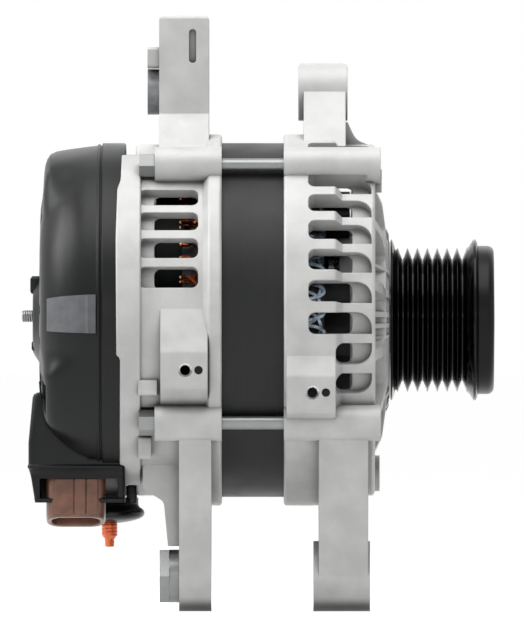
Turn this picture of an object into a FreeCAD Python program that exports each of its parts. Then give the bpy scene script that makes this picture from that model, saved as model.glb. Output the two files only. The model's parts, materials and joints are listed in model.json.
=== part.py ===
import FreeCAD, Part
import math
import os
import re
import Sketcher

# Car alternator with a hairpin-wound stator and a one-way clutch pulley.
# Frame: +X runs along the shaft towards the pulley, +Z is up, the side with the
# block bosses faces -Y. The origin is on the shaft axis in the belt's middle plane.

DOC = FreeCAD.newDocument("alternator")
SHEET = DOC.addObject("Spreadsheet::Sheet", "dims")
V = FreeCAD.Vector

# Driving sizes in millimetres, degrees where the name ends in _angle, and counts.
SIZES = {
    # Pulley and its clutch
    "groove_pitch": 3.56,
    "groove_count": 7,
    "groove_depth": 3.9,
    "ridge_radius": 25.9,
    "flange_tip_radius": 29.0,
    "rear_flange_width": 2.6,
    "front_flange_width": 3.9,
    "pulley_cap_radius": 26.7,
    "pulley_cap_length": 6.1,
    "pulley_cap_wall": 1.6,
    "pulley_cap_corner": 2.4,
    "pulley_cap_crown": 0.4,
    "flange_corner": 0.8,
    "flange_edge": 0.5,
    "groove_overcut": 0.001,
    "clutch_bore_radius": 16.5,
    "clutch_hub_radius": 13.0,
    "clutch_roller_count": 14,
    "clutch_roller_length": 9.0,
    "clutch_bearing_width": 6.0,
    # Lengths that chain along the shaft from the belt plane to the rear cover
    "belt_to_rim": 20.8,
    "front_bracket_length": 32.7,
    "core_exposed": 22.2,
    "rear_bracket_length": 37.0,
    "rear_cover_length": 28.5,
    # Both brackets
    "flange_height": 3.6,
    "flange_width": 4.6,
    "front_collar_width": 18.5,
    "bracket_radius": 63.2,
    "bracket_wall": 4.0,
    "core_overlap": 3.0,
    "vent_pitch_angle": 10,
    "vent_width": 7.7,
    "vent_corner": 2.4,
    "vent_end_round": 5.6,
    "vent_floor_depth": 3.4,
    "vent_cut_depth": 6.0,
    "front_vent_angle": -1.0,
    "rear_vent_angle": 14.0,
    "front_vent_length": 15.7,
    "front_vent_from_rim": 8.2,
    "front_recess_from_rim": 1.3,
    "rear_vent_length": 15.7,
    "rear_vent_from_joint": 8.4,
    "rear_recess_length": 5.7,
    # Front wall, nose cone and bearing boss
    "front_wall": 4.5,
    "cone_radius": 49.0,
    "nose_height": 5.4,
    "nose_radius": 29.0,
    "nose_lip": 4.0,
    "nose_opening_radius": 14.5,
    "bearing_boss_wall": 6.5,
    "front_window_count": 12,
    "front_window_inner_radius": 33.0,
    "front_window_outer_radius": 52.5,
    "window_rib": 4.2,
    # Rear wall
    "rear_ring_length": 6.1,
    "rear_ring_radius": 59.5,
    "rear_wall": 5.0,
    "rear_hub_wall": 5.0,
    "rear_opening_radius": 12.2,
    "rear_window_count": 10,
    "rear_window_inner_radius": 26.5,
    "rear_window_outer_radius": 50.0,
    # Tie bolts
    "tie_bolt_count": 4,
    "tie_bolt_angle": 33.5,
    "tie_bolt_circle": 66.5,
    "tie_bolt_radius": 2.4,
    "tie_bolt_clearance": 0.2,
    "tie_boss_radius": 6.5,
    "tie_boss_front_reach": 2.0,
    "tie_boss_rear_length": 24.0,
    "tie_head_flats": 8.0,
    "tie_head_height": 5.6,
    "tie_seat_gap": 1.6,
    # Upper ears
    "upper_ear_y": 8.0,
    "upper_ear_z": 82.2,
    "upper_ear_bore": 10.4,
    "front_ear_radius": 10.4,
    "front_upper_ear_width": 17.7,
    "front_upper_ear_offset": 5.3,
    "gusset_rise": 8.0,
    "gusset_run": 3.0,
    "gusset_toe": 1.6,
    "gusset_sink": 4.0,
    "rear_upper_ear_width": 18.0,
    "rear_upper_ear_offset": 4.6,
    "rear_upper_ear_top": 109.4,
    "rear_upper_ear_half": 12.0,
    "rear_ear_hood_reach": 4.2,
    "rear_ear_hood_top": 98.2,
    "rear_ear_hood_gap": 0.3,
    "ear_web_reach": 26.3,
    "ear_neck_inset": 1.9,
    "ear_neck_step": 0.7,
    "ear_corner": 1.6,
    "ear_recess_width": 2.5,
    "ear_recess_length": 12.1,
    "ear_recess_side": 4.7,
    "ear_recess_drop": 4.8,
    "ear_recess_depth": 3.6,
    "ear_neck": 8.0,
    "ear_root": 8.0,
    "upper_bush_radius": 8.2,
    "upper_bush_bore": 8.4,
    # Lower ears
    "lower_ear_y": 32.0,
    "lower_ear_z": 91.8,
    "lower_ear_radius": 12.6,
    "lower_ear_bore": 10.5,
    "front_lower_ear_width": 20.3,
    "front_lower_ear_offset": 10.6,
    "rear_lower_ear_width": 11.6,
    "rear_lower_ear_offset": 3.7,
    "lower_web_spread": 12.0,
    "lower_web_sink": 3.0,
    "brace_half": 4.0,
    "brace_reach": 13.0,
    "brace_waist": 5.5,
    "brace_foot": 4.0,
    "brace_root_z": 51.2,
    "brace_step_z": 60.5,
    "brace_waist_z": 65.0,
    "brace_foot_z": 81.0,
    "brace_corner": 3.0,
    "lower_bush_flats": 18.7,
    "lower_bush_hex_length": 3.5,
    "lower_bush_collar_length": 3.5,
    "lower_bush_collar_radius": 9.5,
    "lower_bush_bore": 8.5,
    # Block bosses on the near side
    "front_block_width": 17.6,
    "front_block_offset": 0.9,
    "front_block_top": 5.8,
    "front_block_edge": 20.2,
    "front_block_bottom": 33.0,
    "rear_block_width": 16.9,
    "rear_block_offset": 5.0,
    "rear_block_top": 4.0,
    "rear_block_edge": 11.6,
    "rear_block_bottom": 24.0,
    "block_reach": 68.5,
    "block_draft": 1.5,
    "block_foot": 8.0,
    "front_bore_offset": 0.5,
    "rear_bore_offset": 0.4,
    "block_bore": 5.0,
    "block_bore_depth": 14.0,
    "block_pin_bore": 3.0,
    "block_pin_depth": 6.0,
    "block_pin_pitch": 4.8,
    "front_block_bore_z": 25.9,
    "rear_block_bore_z": 17.9,
    # Small cast pads
    "rear_pad_width": 6.8,
    "rear_pad_reach": 61.0,
    "rear_pad_top": 21.2,
    "rear_pad_height": 5.8,
    "rear_stub_width": 4.7,
    "rear_stub_reach": 50.0,
    "rear_stub_top": 41.4,
    "rear_stub_height": 8.3,
    "front_tab_depth": 2.4,
    "front_tab_reach": 32.0,
    "front_tab_bottom": 45.7,
    "front_tab_height": 8.3,
    "pad_root": 9.0,
    # Stator
    "core_radius": 63.7,
    "core_bore_radius": 50.4,
    "core_slot_count": 48,
    "core_slot_depth": 7.6,
    "core_slot_width": 3.4,
    "slot_liner": 0.2,
    "bend_reach": 12.0,
    "weld_reach": 12.5,
    "winding_ring": 3.0,
    "slot_opening": 0.8,
    "bar_inset": 0.05,
    "weld_inset": 0.6,
    "weld_gap": 1.0,
    # Rotor
    "rotor_radius": 50.0,
    "rotor_length": 44.8,
    "claw_count": 8,
    "claw_root_width": 22.0,
    "claw_tip_width": 8.4,
    "claw_tip_clearance": 1.2,
    "claw_tip_thickness": 5.0,
    "pole_disc_thickness": 12.8,
    "pole_disc_radius": 37.5,
    "coil_radius": 35.0,
    "coil_inner_radius": 23.0,
    "bobbin_inner_radius": 20.2,
    "bobbin_flange": 1.3,
    "coil_inset": 0.8,
    "shaft_core_radius": 11.0,
    "shaft_thread_radius": 8.0,
    "shaft_front_reach": 12.0,
    "shaft_ring_radius": 5.5,
    "front_bearing_radius": 23.5,
    "front_bearing_bore": 8.5,
    "front_bearing_width": 14.0,
    "rear_bearing_radius": 17.5,
    "rear_bearing_bore": 7.5,
    "rear_bearing_width": 11.0,
    "rear_bearing_inset": 2.0,
    "race_thickness": 4.0,
    "seal_thickness": 1.2,
    "seal_gap": 0.08,
    "retainer_thickness": 2.0,
    "retainer_screw_circle": 26.8,
    "retainer_screw_radius": 2.0,
    "retainer_screw_count": 4,
    "retainer_screw_angle": 45,
    "retainer_screw_grip": 7.0,
    "retainer_head_height": 2.0,
    "retainer_head_step": 1.2,
    "retainer_lap": 2.5,
    "fan_radius": 46.5,
    "fan_plate": 1.5,
    "fan_blade_height": 12.5,
    "fan_blade_count": 15,
    "fan_blade_thickness": 1.3,
    "fan_root_ratio": 0.68,
    "fan_middle_ratio": 0.8,
    "fan_tip_ratio": 0.97,
    "fan_middle_lean": 0.05,
    "fan_tip_lean": 0.2,
    "slip_ring_radius": 7.5,
    "slip_ring_width": 5.0,
    "slip_ring_pitch": 8.0,
    "slip_sleeve_radius": 6.4,
    "slip_offset": 15.0,
    "shaft_end_gap": 1.5,
    "shaft_shoulder": 1.5,
    # Brushes
    "brush_length": 14.0,
    "brush_width": 6.4,
    "brush_thickness": 4.6,
    "brush_gap": 0.08,
    "brush_play": 0.15,
    "brush_travel": 4.0,
    "brush_box_wall": 1.6,
    "spring_coil_radius": 1.9,
    "spring_wire": 0.5,
    "spring_seat": 0.3,
    "spring_rest": 2.0,
    "spring_room": 2.6,
    "brush_box_gap": 2.5,
    # Rear cover
    "cover_radius": 63.7,
    "cover_band_length": 8.6,
    "cover_rear_radius": 60.7,
    "cover_corner": 6.0,
    "cover_wall": 2.4,
    "cover_lap": 2.5,
    "cover_hub_radius": 15.5,
    "cover_hub_height": 3.2,
    "cover_hub_slope": 6.0,
    "cover_band_step": 0.6,
    "cover_face_draft": 0.6,
    "cover_crown_depth": 14.0,
    "cover_crown_angle": 60,
    "cover_neck_depth": 8.0,
    "cover_box_shoulder": 2.4,
    "cover_box_reach": 3.8,
    "cover_box_toe": 1.4,
    "cover_box_top": 26.0,
    "cover_belly_top": 44.0,
    "cover_belly_bottom": 54.0,
    "cover_box_bottom": 65.4,
    "cover_box_near": 38.0,
    "cover_box_far": 7.0,
    "socket_window_gap": 0.8,
    "socket_window_top": 54.5,
    "cover_vent_count": 10,
    "cover_vent_width": 4.0,
    "cover_vent_inner": 33.0,
    "cover_vent_outer": 44.0,
    "cover_vent_angle": 12,
    # Connector socket
    "socket_x": 128.0,
    "socket_y": 33.0,
    "socket_length": 21.2,
    "socket_depth": 14.5,
    "socket_height": 16.0,
    "socket_mouth_z": 72.4,
    "socket_wall": 1.8,
    "socket_floor": 5.0,
    "socket_angle": 16.0,
    "socket_corner": 2.0,
    "key_width": 4.4,
    "key_height": 0.7,
    "pin_count": 4,
    "pin_pitch": 4.2,
    "pin_width": 1.5,
    "pin_thickness": 0.8,
    "pin_length": 5.0,
    # Output terminal
    "terminal_x": 116.2,
    "terminal_y": 4.0,
    "terminal_stud_radius": 2.95,
    "terminal_thread_length": 5.4,
    "terminal_shank_radius": 2.6,
    "terminal_tip_radius": 1.75,
    "terminal_tip_length": 3.2,
    "terminal_end_z": 81.7,
    "insulator_rim_radius": 12.6,
    "insulator_rim_z": 73.1,
    "insulator_rim_height": 6.1,
    "insulator_neck_radius": 10.4,
    "insulator_wall": 1.8,
    "output_tab_z": 51.0,
    "output_tab": 2.0,
    "output_tab_half": 5.0,
    "output_tab_width": 6.0,
    "terminal_head": 2.5,
    "terminal_head_radius": 3.4,
    "insulator_gap": 0.2,
    # Rectifier, regulator and cover studs
    "negative_plate": 2.5,
    "positive_plate": 2.5,
    "terminal_block_height": 7.0,
    "rectifier_outer_radius": 46.0,
    "rectifier_inner_radius": 25.0,
    "rectifier_edge_y": 9.0,
    "rectifier_step": 1.0,
    "rectifier_trim": 5.0,
    "diode_radius": 5.5,
    "diode_height": 4.0,
    "regulator_length": 24.0,
    "regulator_width": 24.0,
    "regulator_height": 11.0,
    "regulator_y": 22.5,
    "regulator_corner": 1.5,
    "regulator_seat_gap": 0.1,
    "lead_radius": 1.0,
    "lead_circle": 53.0,
    "lead_hole_gap": 1.2,
    "lug_thickness": 2.5,
    "lug_half": 4.0,
    "lug_edge": 1.5,
    "cover_stud_radius": 2.5,
    "cover_stud_circle": 52.5,
    "cover_stud_count": 3,
    "cover_stud_gap": 0.3,
    "cover_seat_depth": 9.0,
    "cover_seat_radius": 5.4,
    "cover_seat_wall": 1.2,
    "cover_seat_boss": 4.0,
    "rear_stud_radius": 2.2,
    "rear_stud_head_radius": 4.8,
    "rear_stud_head": 1.4,
    "rear_stud_grip": 0.5,
    "rear_stud_z": 1.4,
    "rear_stud_reach": 6.5,
    "cover_nut_flats": 8.0,
    "cover_nut_height": 4.0,
    # Small corner radii, gaps and steps
    "wall_gap": 0.5,
    "overcut": 1.0,
    "root_depth": 4.0,
    "rim_corner": 1.2,
    "flange_step": 2.3,
    "cone_rise": 2.7,
    "cone_step": 6.0,
    "nose_round": 1.0,
    "wall_corner": 3.0,
    "window_corner": 2.0,
    "block_corner": 2.0,
    "ear_flare": 6.0,
    "lower_bush_shank_radius": 7.2,
    "cover_shoulder": 15.0,
}

# Places worked out from the sizes, by name.
PLACES = {
    "rim_x": "-belt_to_rim",
    "front_joint_x": "rim_x - front_bracket_length",
    "rear_joint_x": "front_joint_x - core_exposed",
    "rear_wall_x": "rear_joint_x - rear_bracket_length",
    "cover_rear_x": "rear_wall_x - rear_cover_length",
    "core_front_x": "front_joint_x + core_overlap",
    "core_rear_x": "rear_joint_x - core_overlap",
    "winding_inner": "core_bore_radius + slot_liner + slot_opening",
    "winding_outer": "core_bore_radius + core_slot_depth - slot_liner",
    "core_middle_x": "(front_joint_x + rear_joint_x) / 2",
    "rotor_front_x": "core_middle_x + rotor_length / 2",
    "rotor_rear_x": "core_middle_x - rotor_length / 2",
    "inner_radius": "bracket_radius - bracket_wall",
    "flange_radius": "bracket_radius + flange_height",
    "vent_floor_radius": "bracket_radius - vent_floor_depth",
    "nose_x": "rim_x + nose_height",
    "front_bearing_x": "nose_x - nose_lip",
    "front_bearing_end_x": "front_bearing_x - front_bearing_width",
    "rear_bearing_end_x": "rear_wall_x + rear_bearing_inset",
    "rear_bearing_x": "rear_bearing_end_x + rear_bearing_width",
    "rear_ring_x": "rear_wall_x + rear_ring_length",
    "groove_band": "groove_pitch * groove_count",
    "pulley_rear_x": "-groove_band / 2 - rear_flange_width",
    "pulley_front_x": "groove_band / 2 + front_flange_width",
    "groove_bottom_radius": "ridge_radius - groove_depth",
    "slip_middle_x": "rear_wall_x - slip_offset",
    "slip_front_x": "slip_middle_x + slip_ring_pitch / 2",
    "slip_rear_x": "slip_middle_x - slip_ring_pitch / 2",
    "shaft_rear_x": "slip_rear_x - slip_ring_width / 2 - shaft_end_gap",
    "negative_plate_x": "rear_wall_x",
    "block_x": "negative_plate_x - negative_plate",
    "positive_plate_x": "block_x - terminal_block_height",
}


def fill_sheet():
    """Write each size into the sheet as a named cell."""
    for row, name in enumerate(SIZES, 1):
        SHEET.set("A%d" % row, name)
        SHEET.set("B%d" % row, str(SIZES[name]))
        SHEET.setAlias("B%d" % row, name)
    DOC.recompute()


def spell(expression, prefix=""):
    """Write an expression on size and place names as one on the sheet's cells."""
    def swap(match):
        word = match.group(0)
        if word in SIZES:
            return prefix + word
        if word in PLACES:
            return "(" + spell(PLACES[word], prefix) + ")"
        return word
    return re.sub(r"[a-z][a-z0-9_]*", swap, str(expression))


def size(expression):
    """Value of an expression on size and place names."""
    return float(SHEET.evalExpression(spell(expression)))


def bind(thing, path, expression):
    """Tie a property or a constraint to the sheet."""
    thing.setExpression(path, spell(expression, "dims."))


def new_body(name):
    """Empty body whose label names its file."""
    body = DOC.addObject("PartDesign::Body", name)
    body.Label = name
    return body


def origin_feature(body, role):
    """Origin plane or axis of a body, by role."""
    return [item for item in body.Origin.OriginFeatures if item.Role == role][0]


def new_sketch(body, role, lift="0", tilt="0", spin="0"):
    """Sketch on an origin plane, tilted about its x axis or spun about its normal, then lifted along it."""
    sketch = body.newObject("Sketcher::SketchObject", body.Name + "_sketch")
    sketch.AttachmentSupport = [(origin_feature(body, role), "")]
    sketch.MapMode = "FlatFace"
    turn = tilt if tilt != "0" else spin
    axis = V(1, 0, 0) if tilt != "0" else V(0, 0, 1)
    base = {"y": "-(%s) * sin(%s)" % (lift, tilt), "z": "(%s) * cos(%s)" % (lift, tilt)}
    place = V(0, size(base["y"]), size(base["z"]))
    sketch.AttachmentOffset = FreeCAD.Placement(place, FreeCAD.Rotation(axis, size(turn)))
    if lift != "0":
        bind(sketch, ".AttachmentOffset.Base.y", base["y"])
        bind(sketch, ".AttachmentOffset.Base.z", base["z"])
    if turn != "0":
        bind(sketch, ".AttachmentOffset.Rotation.Angle", turn)
    return sketch


def pin_point(sketch, geometry, end, x, y):
    """Hold one point of a sketch at two expressions."""
    across = sketch.addConstraint(Sketcher.Constraint("DistanceX", -1, 1, geometry, end, size(x)))
    up = sketch.addConstraint(Sketcher.Constraint("DistanceY", -1, 1, geometry, end, size(y)))
    bind(sketch, "Constraints[%d]" % across, x)
    bind(sketch, "Constraints[%d]" % up, y)


# Side slots that the ears, blocks and tie bosses leave free, counted in pitches from the first near slot.
FRONT_VENTS = [0, 1, 2, 3, 4, 5, 7, 8, 12, 13, 14, 16, 17, 18, 19, 20, 21, 22, 23, 25, 26, 27]
FRONT_SHORT_VENTS = [-2, -1]
REAR_VENTS = [0, 1, 2, 3, 11, 12, 15, 16, 17, 18, 19, 20, 21, 24, 25]

# Directions of the stator leads and the diodes round the far half, in degrees from +Y.
LEAD_TURNS = ["-55", "-5", "45"]


def add_loop(sketch, corners):
    """Closed outline through corners (x, y) or (x, y, radius of a rounded corner)."""
    points = [V(size(corner[0]), size(corner[1]), 0) for corner in corners]
    total = len(corners)
    starts = list(points)
    ends = list(points)
    bends = {}
    for i in range(total):
        if len(corners[i]) < 3:
            continue
        radius = size(corners[i][2])
        back = (points[i - 1] - points[i]).normalize()
        ahead = (points[(i + 1) % total] - points[i]).normalize()
        half = back.getAngle(ahead) / 2
        inward = (back + ahead).normalize()
        ends[i] = points[i] + back * (radius / math.tan(half))
        starts[i] = points[i] + ahead * (radius / math.tan(half))
        bends[i] = points[i] + inward * (radius / math.sin(half) - radius)
    first = sketch.GeometryCount
    for i in range(total):
        sketch.addGeometry(Part.LineSegment(starts[i], ends[(i + 1) % total]), False)
    for i in range(total):
        line_in = first + (i - 1) % total
        line_out = first + i
        if i not in bends:
            sketch.addConstraint(Sketcher.Constraint("Coincident", line_in, 2, line_out, 1))
            pin_point(sketch, line_out, 1, corners[i][0], corners[i][1])
            continue
        arc = sketch.addGeometry(Part.Arc(ends[i], bends[i], starts[i]), False)
        arc_in, arc_out = (1, 2) if sketch.getPoint(arc, 1).distanceToPoint(ends[i]) < 1e-6 else (2, 1)
        corner = sketch.addGeometry(Part.Point(points[i]), True)
        pin_point(sketch, corner, 1, corners[i][0], corners[i][1])
        sketch.addConstraint(Sketcher.Constraint("Tangent", line_in, 2, arc, arc_in))
        sketch.addConstraint(Sketcher.Constraint("Tangent", arc, arc_out, line_out, 1))
        sketch.addConstraint(Sketcher.Constraint("PointOnObject", corner, 1, line_in))
        sketch.addConstraint(Sketcher.Constraint("PointOnObject", corner, 1, line_out))
        bend = sketch.addConstraint(Sketcher.Constraint("Radius", arc, size(corners[i][2])))
        bind(sketch, "Constraints[%d]" % bend, corners[i][2])


def add_circle(sketch, x, y, radius):
    """Circle with its centre and radius tied to the sheet."""
    circle = sketch.addGeometry(Part.Circle(V(size(x), size(y), 0), V(0, 0, 1), size(radius)), False)
    pin_point(sketch, circle, 3, x, y)
    bend = sketch.addConstraint(Sketcher.Constraint("Radius", circle, size(radius)))
    bind(sketch, "Constraints[%d]" % bend, radius)


# Places of the rounded and the plain far corner in an outline from box_corners, by the side to round.
FAR_CORNERS = {"-": (1, 2), "+": (2, 1)}


def box_corners(x_low, x_high, y_low, y_high, *corner):
    """Four corners of a rectangle, rounded where a radius is given."""
    return [
        (x_low, y_low, *corner),
        (x_high, y_low, *corner),
        (x_high, y_high, *corner),
        (x_low, y_high, *corner),
    ]


def hexagon(x, y, flats):
    """Six corners of a hexagon across its flats."""
    side = "(%s) / 2" % flats
    point = "(%s) / sqrt(3)" % flats
    half = "(%s) / sqrt(12)" % flats
    across = [(point, "0"), (half, side), ("-" + half, side), ("-" + point, "0"), ("-" + half, "-" + side),
              (half, "-" + side)]
    return [("%s + %s" % (x, dx), "%s + %s" % (y, dy)) for dx, dy in across]


def revolve(body, corners, cut=False):
    """Turn an outline of (x, radius) corners about the shaft axis, as solid or as cut."""
    sketch = new_sketch(body, "XZ_Plane")
    add_loop(sketch, corners)
    kind = "Groove" if cut else "Revolution"
    feature = body.newObject("PartDesign::" + kind, body.Name + "_" + kind.lower())
    feature.Profile = sketch
    feature.ReferenceAxis = (sketch, ["H_Axis"])
    feature.Angle = 360
    return feature


def extrude(body, sketch, length, cut=False, back=False):
    """Pad or pocket a sketch along its normal, or the other way when back is set."""
    kind = "Pocket" if cut else "Pad"
    feature = body.newObject("PartDesign::" + kind, body.Name + "_" + kind.lower())
    feature.Profile = sketch
    feature.Length = size(length)
    bind(feature, "Length", length)
    feature.Reversed = back != cut
    return feature


def plate(body, x_low, width, corners, cut=False, spin="0"):
    """Pad or cut an outline in (y, z), or (-y, ...) spun about the shaft, from x_low over a width."""
    sketch = new_sketch(body, "YZ_Plane", x_low, spin=spin)
    add_loop(sketch, corners)
    return extrude(body, sketch, width, cut)


def rod(body, x_low, width, y, z, radius, cut=False, spin="0"):
    """Round boss or bore along the shaft direction."""
    sketch = new_sketch(body, "YZ_Plane", x_low, spin=spin)
    add_circle(sketch, y, z, radius)
    return extrude(body, sketch, width, cut)


def tube(body, x_low, width, y, z, radius, bore, spin="0"):
    """Round sleeve along the shaft direction."""
    sketch = new_sketch(body, "YZ_Plane", x_low, spin=spin)
    add_circle(sketch, y, z, radius)
    add_circle(sketch, y, z, bore)
    return extrude(body, sketch, width)


def repeat_round(body, features, count):
    """Repeat features evenly about the shaft axis."""
    pattern = body.newObject("PartDesign::PolarPattern", body.Name + "_pattern")
    pattern.Originals = features
    pattern.Axis = (origin_feature(body, "X_Axis"), [""])
    pattern.Angle = 360
    pattern.Occurrences = int(size(count))
    bind(pattern, "Occurrences", count)
    body.Tip = pattern
    return pattern


def repeat_along(body, features, role, pitch, count, backwards=False):
    """Repeat features in a row along an origin axis."""
    pattern = body.newObject("PartDesign::LinearPattern", body.Name + "_row")
    pattern.Originals = features
    pattern.Direction = (origin_feature(body, role), [""])
    pattern.Reversed = backwards
    pattern.Mode = "Spacing"
    pattern.Offset = size(pitch)
    bind(pattern, "Offset", pitch)
    pattern.Occurrences = int(size(count))
    bind(pattern, "Occurrences", count)
    body.Tip = pattern
    return pattern


def ring(name, x_low, x_high, inner, outer):
    """Plain ring or sleeve on the shaft axis."""
    body = new_body(name)
    revolve(body, box_corners(x_low, x_high, inner, outer))
    return body


def cut_vents(body, angle, slots, opening, recess, round_side=""):
    """Side slots at the given pitches: open through the wall, each in a recess that runs on past it.

    One far corner of the recess is well rounded where a side, "-" or "+", is given.
    """
    cuts = []
    for (low, high), floor in ((opening, "inner_radius - vent_cut_depth"), (recess, "vent_floor_radius")):
        sketch = new_sketch(body, "XZ_Plane", floor, tilt="-(%s + %d * vent_pitch_angle)" % (angle, slots[0]))
        corners = box_corners(low, high, "-vent_width / 2", "vent_width / 2", "vent_corner")
        if round_side and high == recess[1]:
            rounded, plain = FAR_CORNERS[round_side]
            corners[rounded] = (high, corners[rounded][1], "vent_end_round")
            corners[plain] = corners[plain][:2]
        add_loop(sketch, corners)
        cuts.append(extrude(body, sketch, "flange_radius - (%s)" % floor, cut=True))
    row = repeat_round(body, cuts, len(slots))
    row.Mode = "Spacing"
    row.Reversed = True
    row.Offset = size("vent_pitch_angle")
    row.Spacings = [(after - before) * size("vent_pitch_angle") for before, after in zip(slots, slots[1:])]


def add_block(body, x_low, width, top, edge, bottom):
    """Block boss on the near side: a sloping top, an upright face and an underside that runs in."""
    foot = bottom + " + block_foot"
    plate(body, x_low, width, [
        ("-inner_radius + overcut", top),
        ("-sqrt(bracket_radius ^ 2 - (%s) ^ 2)" % top, top),
        ("-block_reach", "-" + edge, "block_corner"),
        ("-block_reach + block_draft", "-" + bottom, "block_corner"),
        ("-sqrt(bracket_radius ^ 2 - (%s) ^ 2)" % foot, "-(%s)" % foot),
        ("-sqrt(inner_radius ^ 2 - (%s) ^ 2) + overcut" % foot, "-(%s)" % foot),
    ])


def pad_corners(reach, low, high):
    """Outline of a small cast pad on the near side."""
    return box_corners("-" + reach, "-%s + pad_root" % reach, low, high, "rim_corner")


def drill_block(body, x, z, pin_x):
    """Threaded bore and pin bore square to the near side."""
    for place, radius, depth in ((x, "block_bore / 2", "block_bore_depth"),
                                 (pin_x, "block_pin_bore / 2", "block_pin_depth")):
        sketch = new_sketch(body, "XZ_Plane", "block_reach")
        add_circle(sketch, place, z, radius)
        extrude(body, sketch, depth, cut=True, back=True)


def add_tie_bosses(body, x_low, width):
    """Four round bosses for the tie bolts."""
    boss = rod(body, x_low, width, "-tie_bolt_circle", "0", "tie_boss_radius", spin="tie_bolt_angle")
    repeat_round(body, [boss], "tie_bolt_count")


def drill_tie_bosses(body, x_low, width, radius):
    """Bores for the tie bolts."""
    bore = rod(body, x_low, width, "-tie_bolt_circle", "0", radius, cut=True, spin="tie_bolt_angle")
    repeat_round(body, [bore], "tie_bolt_count")


def cut_windows(body, x_low, width, count, inner, outer):
    """Ring of air windows between radial ribs in an end wall."""
    slope = "tan(180 / %s)" % count
    near = "((%s) * %s - window_rib / 2)" % (inner, slope)
    far = "((%s) * %s - window_rib / 2)" % (outer, slope)
    window = plate(body, x_low, width, [
        ("-" + inner, "-" + near, "window_corner"),
        ("-" + outer, "-" + far, "window_corner"),
        ("-" + outer, far, "window_corner"),
        ("-" + inner, near, "window_corner"),
    ], cut=True)
    repeat_round(body, [window], count)


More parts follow.
